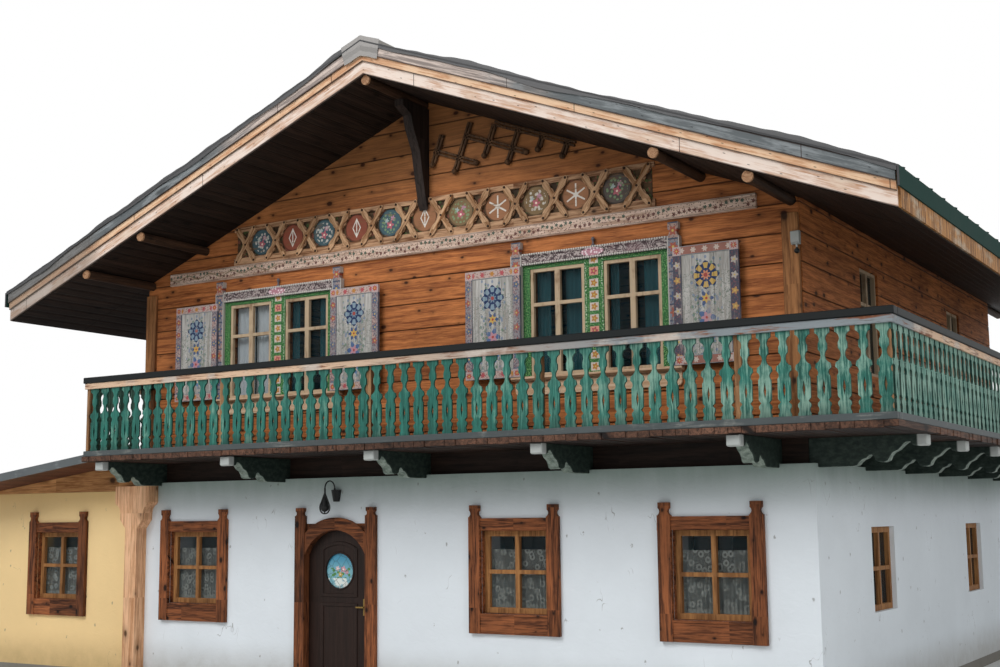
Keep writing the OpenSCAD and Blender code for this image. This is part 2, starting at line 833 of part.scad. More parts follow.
module upper_sashes() {
    for (x = front_upper_windows) upper_sash(x, front_sash_y);
    on_back() for (x = front_upper_windows) upper_sash(x, plain_sash_y);
    on_right() for (x = side_upper_windows) upper_sash(x, plain_sash_y);
    on_left() for (x = side_upper_windows) upper_sash(x, plain_sash_y);
}

module upper_glass() {
    for (x = front_upper_windows) upper_pane(x, front_sash_y);
    on_back() for (x = front_upper_windows) upper_pane(x, plain_sash_y);
    on_right() for (x = side_upper_windows) upper_pane(x, plain_sash_y);
    on_left() for (x = side_upper_windows) upper_pane(x, plain_sash_y);
}

// A shutter folded back against the wall, in front of the carved post
module shutter(x) {
    half_w = shutter_w / 2;
    top_z = upper_sill_z + shutter_h;
    f = shutter_frame_w;
    panel_t = shutter_t - shutter_recess;
    color("mistyrose") translate([x, 0, 0]) {
        upright(-upper_post_t - shutter_t, shutter_t) difference() {
            rect(-half_w, half_w, upper_sill_z, top_z);
            rect(f - half_w, half_w - f, upper_sill_z + f, top_z - f);
        }
        upright(-upper_post_t - panel_t, panel_t)
            rect(f - half_w, half_w - f, upper_sill_z + f, top_z - f);
    }
}

module shutters() {
    inner = upper_board_half_w + shutter_w / 2;
    outer = inner + upper_post_w - shutter_lap;
    for (s = [-1, 1]) {
        shutter(s * (upper_pair_x - inner));
        shutter(s * (upper_pair_x + outer));
    }
}

// Gable front
module cornice_board() {
    color("cornsilk") upright(-60, 60)
        rect(-cornice_half_w, cornice_half_w, cornice_z, cornice_z + cornice_h);
}

frieze_z = cornice_z + cornice_h;
frieze_band_z = frieze_z + frieze_foot_h;
frieze_mid_z = frieze_band_z + frieze_band_h / 2;
frieze_head_z = frieze_band_z + frieze_band_h;
frieze_top = frieze_head_z + frieze_head_h;
frieze_half_w = 5.9 * frieze_pitch;
frieze_t = 45;
frieze_panel_t = 20;

// A board with scalloped edges, from the middle of one rail to the middle of the other
module scalloped_board() {
    rise = frieze_band_h + (frieze_foot_h + frieze_head_h) / 2;
    length = sqrt(pow(rise, 2) + pow(2 * cross_half_w, 2));
    scallop = length / 5;
    difference() {
        rect(-length / 2, length / 2, -cross_w / 2, cross_w / 2);
        for (i = [-1.5:1.5]) for (s = [-1, 1])
            translate([i * scallop, s * (cross_w / 2 + scallop * 0.3)]) circle(scallop * 0.42);
    }
}

module frieze_fretwork() {
    cross_z = (frieze_z + frieze_foot_h / 2 + frieze_head_z + frieze_head_h / 2) / 2;
    lean = atan((frieze_band_h + (frieze_foot_h + frieze_head_h) / 2) / (2 * cross_half_w));
    color("burlywood") {
        upright(-frieze_t, frieze_t) {
            rect(-frieze_half_w, frieze_half_w, frieze_z, frieze_band_z);
            rect(-frieze_half_w, frieze_half_w, frieze_head_z, frieze_top);
        }
        upright(-frieze_t, frieze_t - frieze_panel_t) for (i = [-5.5:5.5]) for (s = [-1, 1])
            translate([i * frieze_pitch, cross_z]) rotate(s * lean) scalloped_board();
    }
}

module frieze_panels() {
    color("indianred") for (i = [-5:5])
        translate([i * frieze_pitch, 0, frieze_mid_z]) rotate([90, 0, 0])
            cylinder(r = frieze_panel_r, h = frieze_panel_t);
}

// The bracket under the ridge, which hangs down in front of the frieze
module ridge_bracket() {
    top_z = purlin_z(0) - purlin_r - seat_gap;
    drop = top_z - frieze_top;
    r = bracket_reach;
    color("#2e2a28") sideways(-70, 140) polygon([
        [-frieze_t, frieze_top - 170], [-frieze_t - 35, frieze_top - 90],
        [-frieze_t - 60, frieze_top + 10], [-r * 0.3, frieze_top + drop * 0.3],
        [-r * 0.38, frieze_top + drop * 0.5], [-r * 0.62, frieze_top + drop * 0.72],
        [-r * 0.7, frieze_top + drop * 0.86], [-r, frieze_top + drop * 0.93], [-r, top_z],
        [0, top_z], [0, frieze_top + 1], [-frieze_t, frieze_top + 1]
    ]);
}

// Balcony
// The carved side of a console: a beam with two scrolls under it and a nose at its end
module console_shape(reach) {
    z = console_foot_z;
    out = reach - ledge;
    function at(share, rise) = [-ledge - out * share, z + rise];
    polygon(concat(
        [[0, beams_top], [0, masonry_top], [-ledge, masonry_top], [-ledge, z]],
        [at(0.32, 0), at(0.36, 12), at(0.385, 45), at(0.41, 72), at(0.45, 88), at(0.475, 118)],
        [at(0.5, 122), at(0.52, 100), at(0.53, 62), at(0.56, 42), at(0.605, 38)],
        [at(0.645, 55), at(0.66, 98), at(0.69, 140), at(0.74, 168), at(0.78, 218)],
        [at(0.815, 248), at(0.85, 250), at(0.87, 212)],
        [at(0.91, 204), at(0.985, 204), at(1, 218), [-reach, beams_top]]
    ));
}

module front_consoles() {
    color("darkslategray") for (i = [-2:2])
        sideways(i * front_console_pitch - console_w / 2, console_w)
            console_shape(balcony_front_d - console_setback);
}

module side_consoles() {
    color("darkslategray") on_right() for (i = [0:side_console_count])
        sideways(i * side_console_pitch, console_w)
            console_shape(balcony_side_d - console_setback);
}

module balcony_deck() {
    color("sandybrown") {
        block(-balcony_left, balcony_right, -balcony_front_d, 0, beams_top, floor_z);
        block(house_half_w, balcony_right, 0, house_d, beams_top, floor_z);
    }
}

rail_in = 20;
rail_front_y = -balcony_front_d + rail_in;
rail_side_x = balcony_right - rail_in;
rail_left_x = -balcony_left + rail_in;
rail_back_y = house_d - rail_in;

rail_end_y = -corner_post_out;
left_post_w = 80;

module lower_rails() {
    w = lower_rail_w;
    color("darkgray") {
        block(rail_left_x, rail_side_x, rail_front_y, rail_front_y + w, floor_z, lower_rail_top);
        block(rail_side_x - w, rail_side_x, rail_front_y + w + seam, rail_back_y,
            floor_z, lower_rail_top);
        block(rail_left_x, rail_left_x + w, rail_front_y + w + seam, rail_end_y,
            floor_z, lower_rail_top);
        block(house_half_w, rail_side_x - w - seam, rail_back_y - w, rail_back_y,
            floor_z, lower_rail_top);
    }
}

module rail_boards() {
    t = rail_board_t;
    color("peachpuff") {
        block(rail_left_x, rail_side_x, rail_front_y, rail_front_y + t, board_z, cap_z);
        block(rail_side_x - t, rail_side_x, rail_front_y + t + seam, rail_back_y, board_z, cap_z);
        block(rail_left_x, rail_left_x + t, rail_front_y + t + seam, rail_end_y, board_z, cap_z);
        block(house_half_w, rail_side_x - t - seam, rail_back_y - t, rail_back_y, board_z, cap_z);
    }
}

module rail_caps() {
    w = rail_cap_w;
    color("dimgray") {
        block(rail_left_x - 20, rail_side_x + 20, rail_front_y - 20, rail_front_y - 20 + w,
            cap_z, cap_top);
        block(rail_side_x + 20 - w, rail_side_x + 20, rail_front_y - 20 + w + seam,
            rail_back_y + 20, cap_z, cap_top);
        block(rail_left_x - 20, rail_left_x - 20 + w, rail_front_y - 20 + w + seam, rail_end_y,
            cap_z, cap_top);
        block(house_half_w, rail_side_x + 20 - w - seam, rail_back_y + 20 - w,
            rail_back_y + 20, cap_z, cap_top);
    }
}

// The gap between two balusters, from the foot up
module baluster_gap() {
    side = [[36, -1], [36, 121], [63, 152], [36, 186], [36, 400], [22, 495], [58, 660],
        [58, 740], [28, 830], [28, baluster_h + 1]];
    holes = [[60, 50], [436, 52], [612, 85], [780, 73]];
    last = len(side) - 1;
    polygon(concat(side, [for (i = [last:-1:0]) [-side[i][0], side[i][1]]]));
    for (hole = holes) translate([0, hole[0]]) circle(hole[1]);
}

// One flat baluster, as wide as its share of the rail, with half a gap cut from each side
module baluster(pitch) {
    difference() {
        rect(-pitch / 2, pitch / 2, 0, baluster_h);
        for (s = [-1, 1]) translate([s * pitch / 2, 0]) baluster_gap();
        polygon([[0, 189], [16, 280], [0, 371], [-16, 280]]);
    }
}

// A run of balusters, drawn along X
module baluster_run(run) {
    count = round(run / baluster_pitch);
    pitch = run / count;
    for (i = [0:count - 1])
        upright(0, baluster_t) translate([(i + 0.5) * pitch, lower_rail_top]) baluster(pitch);
}

baluster_front_y = rail_front_y + rail_board_t;
baluster_side_x = rail_side_x - rail_board_t;
baluster_left_x = rail_left_x + rail_board_t;
baluster_back_y = rail_back_y - rail_board_t;

module front_balusters() {
    start = rail_left_x + left_post_w;
    color("cadetblue") translate([start, baluster_front_y, 0]) baluster_run(rail_side_x - start);
}

module side_balusters() {
    start = baluster_front_y + baluster_t + seam;
    color("cadetblue") translate([baluster_side_x, start, 0]) rotate([0, 0, 90])
        baluster_run(baluster_back_y - start);
}

module left_end_balusters() {
    start = baluster_front_y + left_post_w + seam;
    color("cadetblue") translate([baluster_left_x + baluster_t, start, 0]) rotate([0, 0, 90])
        baluster_run(rail_end_y - start);
}

module back_end_balusters() {
    end = baluster_side_x - baluster_t - seam;
    color("cadetblue") translate([house_half_w, baluster_back_y - baluster_t, 0])
        baluster_run(end - house_half_w);
}

module rail_posts() {
    w = rail_post_w;
    inner_y = baluster_front_y + baluster_t;
    inner_x = baluster_side_x - baluster_t;
    inner_back_y = baluster_back_y - baluster_t;
    side_count = floor((inner_back_y - 2 * w) / rail_post_pitch);
    color("tan") {
        block(baluster_left_x, rail_left_x + left_post_w - seam, baluster_front_y,
            baluster_front_y + left_post_w, lower_rail_top, cap_z);
        for (i = [-1:2])
            block(i * rail_post_pitch - w / 2, i * rail_post_pitch + w / 2, inner_y, inner_y + w,
                lower_rail_top, cap_z);
        block(inner_x - w, inner_x, inner_y, inner_y + w, lower_rail_top, cap_z);
        for (i = [1:side_count])
            block(inner_x - w, inner_x, i * rail_post_pitch - w / 2,
                i * rail_post_pitch + w / 2, lower_rail_top, cap_z);
        block(inner_x - w, inner_x, inner_back_y - w, inner_back_y, lower_rail_top, cap_z);
    }
}

// Roof
module roof_slope(side) {
    eave = side * roof_half_w;
    color("#3a2c24") upright(-verge_out, house_d + 2 * verge_out) polygon([
        [0, roof_under(0)], [eave, roof_under(eave)], [eave, deck_top(eave)], [0, deck_top(0)]
    ]);
}

module roof_left() {
    roof_slope(-1);
}

module roof_right() {
    roof_slope(1);
}

roofing_out = verge_out + 3 * edge_board_t + 20;

module roofing() {
    inner = roof_half_w + edge_board_t;
    outer = inner + roofing_t;
    drip_z = roofing_under(inner) - drip_h;
    color("#27332f") upright(-roofing_out, house_d + 2 * roofing_out) polygon([
        [0, roofing_under(0)], [inner, roofing_under(inner)], [inner, drip_z],
        [outer, drip_z], [outer, roof_top(outer)], [0, roof_top(0)],
        [-outer, roof_top(outer)], [-outer, drip_z], [-inner, drip_z],
        [-inner, roofing_under(inner)]
    ]);
}

module ridge_cover() {
    half_w = 300;
    t = 60;
    color("wheat") upright(-roofing_out, house_d + 2 * roofing_out) polygon([
        [-half_w, roof_top(half_w) + seat_v], [0, roof_top(0) + seat_v],
        [half_w, roof_top(half_w) + seat_v], [half_w, roof_top(half_w) + t],
        [0, roof_top(0) + t], [-half_w, roof_top(half_w) + t]
    ]);
}

module chevron(half_w, h) {
    polygon([
        [0, deck_top(0)], [half_w, deck_top(half_w)], [half_w, deck_top(half_w) - h],
        [0, deck_top(0) - h], [-half_w, deck_top(half_w) - h], [-half_w, deck_top(half_w)]
    ]);
}

module both_verges(layer) {
    t = edge_board_t;
    upright(-verge_out - layer * t, t) children();
    upright(house_d + verge_out + (layer - 1) * t, t) children();
}

module verge_top_boards() {
    color("gray") both_verges(3) chevron(roof_half_w, verge_top_h);
}

module verge_middle_boards() {
    color("bisque") both_verges(2) chevron(roof_half_w, verge_top_h + verge_middle_h);
}

module verge_lower_boards() {
    color("bisque") both_verges(1) chevron(roof_half_w, roof_v);
}

module eave_boards() {
    outer = roof_half_w + edge_board_t;
    color("sienna") for (s = [-1, 1]) upright(-verge_out, house_d + 2 * verge_out) polygon([
        [s * roof_half_w, roof_under(roof_half_w)], [s * outer, roof_under(roof_half_w)],
        [s * outer, deck_top(outer)], [s * roof_half_w, deck_top(roof_half_w)]
    ]);
}

module purlins() {
    color("rosybrown") for (x = purlin_x)
        upright(-verge_out + purlin_setback, house_d + 2 * (verge_out - purlin_setback))
            translate([x, purlin_z(x)]) circle(purlin_r);
}

// Wing
module wing_front_wall() {
    color("khaki") upright(-ledge, wing_wall_t) difference() {
        rect(-wing_left, -masonry_half_w, slab_t, wing_wall_top);
        ground_openings([wing_window_x]);
    }
}

module wing_side_wall() {
    inner = -wing_left + wing_wall_t;
    color("khaki") upright(wing_wall_t - ledge, wing_d - 2 * wing_wall_t) polygon([
        [-wing_left, slab_t], [inner, slab_t],
        [inner, wing_wall_under(inner)], [-wing_left, wing_wall_under(-wing_left)]
    ]);
}

module wing_back_wall() {
    color("khaki") upright(wing_d - ledge - wing_wall_t, wing_wall_t) polygon([
        [-wing_left, slab_t], [-masonry_half_w, slab_t],
        [-masonry_half_w, wing_wall_under(-masonry_half_w)],
        [-wing_left, wing_wall_under(-wing_left)]
    ]);
}

module wing_beam() {
    color("peru") upright(-ledge, wing_wall_t) polygon([
        [-wing_left, wing_wall_top], [-masonry_half_w, wing_wall_top],
        [-masonry_half_w, wing_wall_under(-masonry_half_w)],
        [-wing_left, wing_wall_under(-wing_left)]
    ]);
}

// The carved post on the corner between the house and the wing
module wing_post() {
    shaft = wing_post_w / 2;
    head = wing_capital_w / 2;
    step = (shaft + head) / 2;
    top = console_foot_z;
    color("peru") upright(-ledge - wing_post_out, wing_post_out)
        translate([-masonry_half_w + 140, 0]) difference() {
            union() {
                rect(-shaft, shaft, 0, top);
                rect(-head, head, top - 240, top);
                polygon([
                    [-head, top - 240], [-step, top - 400], [-step, top - 500],
                    [-shaft, top - 635], [shaft, top - 635], [step, top - 500],
                    [step, top - 400], [head, top - 240]
                ]);
            }
            for (s = [-1, 1]) translate([s * (head + 8), top - 390]) circle(118);
        }
}

module wing_roof() {
    far = -wing_left - wing_eave_out;
    color("#5a4a40") upright(-ledge - wing_roof_out, wing_d + wing_roof_out) polygon([
        [-house_half_w, wing_under(-house_half_w)], [-house_half_w, wing_top(-house_half_w)],
        [far, wing_top(far)], [far, wing_under(far)]
    ]);
}

module wing_verge_board() {
    far = -wing_left - wing_eave_out;
    color("gray") upright(-ledge - wing_roof_out - edge_board_t, edge_board_t) polygon([
        [-house_half_w, wing_under(-house_half_w) - 10], [-house_half_w, wing_top(-house_half_w)],
        [far, wing_top(far)], [far, wing_under(far) - 10]
    ]);
}

ground_slab();
front_wall_left();
front_wall_right();
front_wall_over_door();
left_wall();
right_wall();
back_wall();
door_frame();
door_hinge_pins();
door_leaf();
door_hinge_straps();
door_glass();
door_handle();
wall_lamp();
window_surrounds();
ground_casements();
ground_glass();
upper_floor();
upper_front_wall();
upper_back_wall();
upper_left_wall();
upper_right_wall();
corner_posts();
post_lamp();
upper_window_boards();
upper_window_posts();
upper_sashes();
upper_glass();
shutters();
cornice_board();
frieze_fretwork();
frieze_panels();
ridge_bracket();
front_consoles();
side_consoles();
balcony_deck();
rail_posts();
lower_rails();
front_balusters();
side_balusters();
left_end_balusters();
back_end_balusters();
rail_boards();
rail_caps();
roof_left();
roof_right();
roofing();
ridge_cover();
verge_top_boards();
verge_middle_boards();
verge_lower_boards();
eave_boards();
purlins();
wing_front_wall();
wing_side_wall();
wing_back_wall();
wing_beam();
wing_post();
wing_roof();
wing_verge_board();
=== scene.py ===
"""Alpine chalet: boards, trims, curtains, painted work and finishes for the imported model."""

import math
import random

import bpy
from bpy.props import FloatProperty, FloatVectorProperty, IntProperty, PointerProperty
from mathutils import Matrix, Vector


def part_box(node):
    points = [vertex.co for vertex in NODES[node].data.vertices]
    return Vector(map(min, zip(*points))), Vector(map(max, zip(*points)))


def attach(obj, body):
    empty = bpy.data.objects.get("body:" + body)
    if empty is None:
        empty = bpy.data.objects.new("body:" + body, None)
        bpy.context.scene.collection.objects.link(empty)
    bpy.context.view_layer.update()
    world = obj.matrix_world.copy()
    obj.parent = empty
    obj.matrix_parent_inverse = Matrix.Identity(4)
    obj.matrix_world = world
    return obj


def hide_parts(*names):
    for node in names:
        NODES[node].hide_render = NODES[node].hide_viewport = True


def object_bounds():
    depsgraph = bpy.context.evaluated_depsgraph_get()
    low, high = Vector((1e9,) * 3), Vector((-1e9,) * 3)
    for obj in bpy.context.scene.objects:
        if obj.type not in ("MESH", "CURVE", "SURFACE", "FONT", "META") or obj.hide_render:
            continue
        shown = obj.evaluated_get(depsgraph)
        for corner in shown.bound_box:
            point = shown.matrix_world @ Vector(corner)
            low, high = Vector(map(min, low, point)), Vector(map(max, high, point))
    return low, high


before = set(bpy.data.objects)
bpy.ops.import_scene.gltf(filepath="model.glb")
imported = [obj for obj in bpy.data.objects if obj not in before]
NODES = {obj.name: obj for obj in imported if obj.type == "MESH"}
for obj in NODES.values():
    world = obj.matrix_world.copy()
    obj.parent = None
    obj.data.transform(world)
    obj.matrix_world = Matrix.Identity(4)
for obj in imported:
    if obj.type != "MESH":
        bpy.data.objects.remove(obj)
CAD_BOX = [[float(v) for v in corner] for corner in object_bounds()]

bl_info = {
    "name": "Alpine chalet",
    "version": (1, 0, 0),
    "blender": (4, 5, 0),
    "location": "3D View > Sidebar > Chalet",
    "description": "Boards, trims, curtains, painted work and finishes of an alpine chalet",
    "category": "Object",
}

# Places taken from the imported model
HALF_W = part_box("upper_front_wall")[1].x
HOUSE_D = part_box("upper_back_wall")[1].y
FLOOR_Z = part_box("upper_floor")[1].z
RIDGE_WALL_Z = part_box("upper_front_wall")[1].z
EAVE_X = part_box("roof_right")[1].x
VERGE_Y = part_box("roof_right")[0].y
ROOFING_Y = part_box("roofing")[0].y
ROOFING_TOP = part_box("roofing")[1].z
DECK_LOW, DECK_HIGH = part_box("balcony_deck")
CORNICE_LOW, CORNICE_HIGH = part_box("cornice_board")
FRIEZE_LOW, FRIEZE_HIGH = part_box("frieze_panels")
FRET_LOW, FRET_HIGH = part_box("frieze_fretwork")
DOOR_X = (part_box("door_frame")[0].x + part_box("door_frame")[1].x) / 2
MASONRY_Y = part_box("front_wall_left")[0].y
GLASS_LOW, GLASS_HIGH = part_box("door_glass")
SHUTTER_LOW, SHUTTER_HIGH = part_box("shutters")

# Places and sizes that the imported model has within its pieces
RIDGE_HALF = 0.31
GREEN_BOARD_W = 0.105
POST_HALF = 0.08
SHUTTER_X = (1.135, 4.12)
SHUTTER_PANEL_W = 0.62
SHUTTER_RIM = 0.11
APRON_TOP = 4.154
LINTEL_Z = 5.67
CROSS_REACH = 0.165
CROSS_LOW = FRET_LOW.z + 0.055
CROSS_HIGH = FRET_HIGH.z - 0.0325

# Space left round the boards that are added
GAP = 0.002


def paint(code):
    """A colour written as it shows on a screen, as the shaders want it."""
    channels = [int(code[i:i + 2], 16) / 255 for i in (1, 3, 5)]
    return tuple([c / 12.92 if c <= 0.04045 else ((c + 0.055) / 1.055) ** 2.4 for c in channels] + [1.0])


def colour(name, code, description):
    return FloatVectorProperty(
        name=name, description=description, default=paint(code), size=4, min=0, max=1, subtype="COLOR"
    )


def length(name, metres, description):
    return FloatProperty(name=name, description=description, default=metres, min=0, unit="LENGTH")


class ChaletSizes(bpy.types.PropertyGroup):
    """Sizes of the pieces that are added to the chalet."""

    roof_pitch: FloatProperty(
        name="Roof pitch", description="Slope of the main roof", default=math.radians(21.4), unit="ROTATION"
    )
    wall_board: length("Wall board", 0.35, "Height of one board of the timber walls")
    wall_board_start: length("First board", 3.17, "Height at which the boards start")
    wall_board_t: length("Board thickness", 0.012, "Thickness of the boards on the walls")
    soffit_board: length("Soffit board", 0.19, "Width of one board under the roof")
    deck_plank: length("Deck plank", 0.15, "Width of one plank of the balcony")
    seam_pitch: length("Roof seam distance", 0.55, "Distance between the seams of the roof sheets")
    seam_h: length("Roof seam height", 0.028, "Height of a seam of the roof sheets")
    pair_x: length("Window pair", 2.585, "Distance from the ridge line to a pair of upper windows")
    pair_step: length("Window step", 0.53, "Half the distance between the windows of a pair")
    upper_window_w: length("Upper window width", 0.79, "Width of an upper window opening")
    upper_sill_z: length("Upper sill", 4.152, "Height of the upper window openings above the ground")
    upper_head_z: length("Upper head", 5.542, "Height of the top of the upper window openings")
    ground_window_w: length("Ground window width", 0.98, "Width of a ground-floor window opening")
    ground_sill_z: length("Ground sill", 1.18, "Height of the ground-floor window openings")
    ground_head_z: length("Ground head", 2.22, "Height of the top of the ground-floor openings")
    frieze_pitch: length("Frieze pitch", 0.585, "Distance between the round panels of the frieze")
    frieze_panels: IntProperty(name="Frieze panels", description="Number of round panels", default=11, min=1)
    lamp_light: FloatProperty(name="Key light", description="Power of the main lamp in watts", default=2500)


class ChaletColours(bpy.types.PropertyGroup):
    """Colours of the chalet's finishes."""

    board_light: colour("Board light", "#d0824a", "Light grain of the wall boards")
    board_dark: colour("Board dark", "#7f4524", "Dark grain of the wall boards")
    # Painted shade: the soffit colours are near-black for the shade under the eaves.
    soffit_light: colour("Soffit light", "#33261f", "Light grain of the boards under the roof")
    soffit_dark: colour("Soffit dark", "#15100d", "Dark grain of the boards under the roof")
    plaster: colour("Plaster", "#e8eef3", "White plaster of the ground storey")
    ochre: colour("Ochre plaster", "#fad9a0", "Plaster of the wing")
    green: colour("Baluster green", "#357b6e", "Faded paint of the balusters")
    grey_wood: colour("Grey wood", "#5f6466", "Weathered boards")
    peach: colour("Peach", "#e6c2a0", "Paint of the boards under the verge")
    roof: colour("Roof", "#1d3a34", "Coating of the roof sheets")
    surround: colour("Surround", "#a5633c", "Stain of the ground-floor surrounds")
    door: colour("Door", "#2e1e18", "Stain of the front door")
    sash: colour("Sash", "#c2aa8c", "Paint of the upper sashes")
    glass: colour("Glass", "#12282e", "Tint of the window glass")


def sizes():
    return bpy.context.scene.chalet_sizes


def colours():
    return bpy.context.scene.chalet_colours


def maths(how, turned=False):
    """A sum for wires to be part of. Where it is turned, the wire comes after the other value."""

    def write(wire, *others):
        values = (*others, wire) if turned else (wire, *others)
        return wire.nodes.node("ShaderNodeMath", {"operation": how}, dict(enumerate(values)))

    return write


class Wire:
    """A socket of a node tree, for writing shader maths as sums."""

    def __init__(self, nodes, socket):
        self.nodes = nodes
        self.socket = socket

    __add__ = maths("ADD")
    __radd__ = maths("ADD", turned=True)
    __sub__ = maths("SUBTRACT")
    __rsub__ = maths("SUBTRACT", turned=True)
    __mul__ = maths("MULTIPLY")
    __rmul__ = maths("MULTIPLY", turned=True)
    __truediv__ = maths("DIVIDE")
    __abs__ = maths("ABSOLUTE")
    above = maths("GREATER_THAN")
    below = maths("LESS_THAN")
    floor = maths("FLOOR")
    fract = maths("FRACT")
    sine = maths("SINE")
    cosine = maths("COSINE")
    root = maths("SQRT")
    arctan2 = maths("ARCTAN2")

    def step(self, low, high):
        """Rises smoothly from 0 at low to 1 at high."""
        return self.nodes.node(
            "ShaderNodeMapRange", {"interpolation_type": "SMOOTHSTEP"}, {0: self, 1: low, 2: high}
        )


class Nodes:
    """A node tree, with one way to add a node to it."""

    def __init__(self, tree):
        self.tree = tree

    def feed(self, socket, value):
        """Links a wire to a socket, or sets the socket to a number or a colour."""
        if isinstance(value, Wire):
            self.tree.links.new(value.socket, socket)
        else:
            socket.default_value = paint(value) if isinstance(value, str) else value

    def node(self, kind, settings=None, values=None, out=0):
        made = self.tree.nodes.new(kind)
        for key, value in (settings or {}).items():
            setattr(made, key, value)
        for key, value in (values or {}).items():
            self.feed(made.inputs[key], value)
        return Wire(self, made.outputs[out])

    def seen(self):
        """1 for what the camera sees, also by reflection or through glass, and 0 for lighting."""
        rays = ("Is Camera Ray", "Is Glossy Ray", "Is Transmission Ray")
        camera, glossy, through = [self.node("ShaderNodeLightPath", out=ray) for ray in rays]
        return (camera + glossy + through).above(0.5)


class Finish(Nodes):
    """A material and the nodes that make its pattern."""

    def __init__(self, name):
        self.material = bpy.data.materials.new(name)
        self.material.use_nodes = True
        super().__init__(self.material.node_tree)
        self.shader = self.tree.nodes["Principled BSDF"]
        self.place = self.node("ShaderNodeTexCoord", out="Object")
        self.x, self.y, self.z = self.parts(self.place)

    def parts(self, vector):
        """The three numbers of a vector."""
        first = self.node("ShaderNodeSeparateXYZ", values={0: vector})
        return [Wire(self, socket) for socket in first.socket.node.outputs]

    def facing(self):
        """The three parts of the direction that the surface faces."""
        return self.parts(self.node("ShaderNodeNewGeometry", out="Normal"))

    def vector(self, x, y, z):
        return self.node("ShaderNodeCombineXYZ", values={0: x, 1: y, 2: z})

    def noise(self, place, scale=5.0, detail=4.0, rough=0.5, twist=0.0):
        names = ("Vector", "Scale", "Detail", "Roughness", "Distortion")
        return self.node(
            "ShaderNodeTexNoise", values=dict(zip(names, (place, scale, detail, rough, twist)))
        )

    def streaks(self, across, along, up, *noise):
        """Noise that has a scale of its own on each axis."""
        return self.noise(self.vector(self.x * across, self.y * along, self.z * up), *noise)

    def cells(self, across, up, scale, feature="F1"):
        """Distance from scattered points, or from the edges between them, on a plane."""
        return self.node(
            "ShaderNodeTexVoronoi", {"voronoi_dimensions": "2D", "feature": feature},
            {"Vector": self.vector(across, up, 0.0), "Scale": scale}, "Distance",
        )

    def random(self, number):
        return self.node("ShaderNodeTexWhiteNoise", {"noise_dimensions": "1D"}, {"W": number})

    def mix(self, amount, first, second, blend="MIX"):
        return self.node(
            "ShaderNodeMix", {"data_type": "RGBA", "blend_type": blend}, {0: amount, 6: first, 7: second}, 2
        )

    def coats(self, base, *layers):
        """Paints one tint after another over the base, each where its mask lets it."""
        for mask, tint in layers:
            base = self.mix(mask, base, tint)
        return base

    def shade(self, base, value):
        """A colour times a number."""
        grey = self.node("ShaderNodeCombineColor", values={0: value, 1: value, 2: value})
        return self.mix(1.0, base, grey, "MULTIPLY")

    def grain_place(self, along):
        """Coordinates turned so that the first runs with the grain."""
        if callable(along):
            return along(self)
        order = {"x": (self.x, self.y, self.z), "y": (self.y, self.x, self.z), "z": (self.z, self.x, self.y)}
        return order[along]

    def done(self, base, rough=0.6, height=None, depth=0.002, strength=0.6, shine=0.2, **others):
        """Feeds the shader and returns the material."""
        if height is not None:
            others["Normal"] = self.node(
                "ShaderNodeBump", values={"Strength": strength, "Distance": depth, "Height": height}
            )
        others.update({"Base Color": base, "Roughness": rough, "Specular IOR Level": shine})
        for key, value in others.items():
            self.feed(self.shader.inputs[key], value)
        return self.material


def toned(tint, share):
    """A colour made darker or lighter by a share."""
    parts = paint(tint) if isinstance(tint, str) else tint
    return tuple([min(1, part * share) for part in parts[:3]] + [1.0])


def distance(u, v):
    return (u * u + v * v).root()


def spaced(place, pitch):
    """The number of each step along a line, and the distance from the middle of the step."""
    cell = place / pitch
    return cell.floor(), (cell.fract() - 0.5) * pitch


def grained(name, light, dark, along="x", across=None, pitch=0.0, start=0.0, knots=0.0, dirt=0.25,
            rough=0.62, spread=0.25, lines=1.0, tan=None):
    """Wood with grain, knots and a tone for each board. Returns the finish, its colour and height."""
    f = Finish(name)
    u, v, w = f.grain_place(along)
    if pitch:
        row = ((f.z if across is None else across(f)) - start) / pitch
        tone = f.random(row.floor() + 0.5)
        edge = abs(row.fract() - 0.5)
        gap = edge.step(0.5 - 0.016 / pitch, 0.5 - 0.003 / pitch)
    else:
        tone = f.random((f.x * 0.7).floor() + (f.y * 0.9).floor() * 7 + (f.z * 0.8).floor() * 13)
        gap = None
    shift = tone * 31.0
    fibre = f.noise(f.vector(u * 2.2 + shift, v * 40 + shift, w * 40), 1.6, 6, 0.7, 0.6)
    bands = f.noise(f.vector(u * 0.5 + shift, v * 8, w * 8 + shift), 1.4, 4, 0.55, 1.6)
    lively = (fibre * 0.75 + bands * 0.75 - 0.74) * 2.2 * lines + 0.5
    base = f.mix(lively.step(0.05, 0.95), dark, light)
    # Painted shade: where tan is given, the boards turn darker towards the gable's top, for the shade under
    # the eaves.
    if tan is not None:
        base = f.mix(f.z.step(6.2, 7.4) * 0.6, base, tan)
    if knots:
        spot = f.cells(u * 0.8 + shift, (v + w) * 1.3, knots)
        spot = spot + (fibre - 0.5) * 0.05 + (f.noise(f.place, 1.7, 2) - 0.44) * 0.3
        base = f.mix(spot.step(0.035, 0.11), toned(dark, 0.3), base)
        base = f.shade(base, 0.74 + 0.26 * spot.step(0.07, 0.26))
    base = f.shade(base, 1 - spread + tone * spread * 1.4)
    stain = f.noise(f.place, 0.9, 5, 0.6).step(0.35, 0.75)
    base = f.shade(base, 1 - stain * dirt)
    height = fibre * 0.8 + bands * 0.4
    if gap is not None:
        base = f.shade(base, 1 - gap * 0.7)
        height = height - gap * 2
    f.done(base, 0.2 * (1 - fibre) + rough - 0.05, height, 0.003)
    return f, base, height


def wood(name, light, dark, **settings):
    return grained(name, light, dark, **settings)[0].material


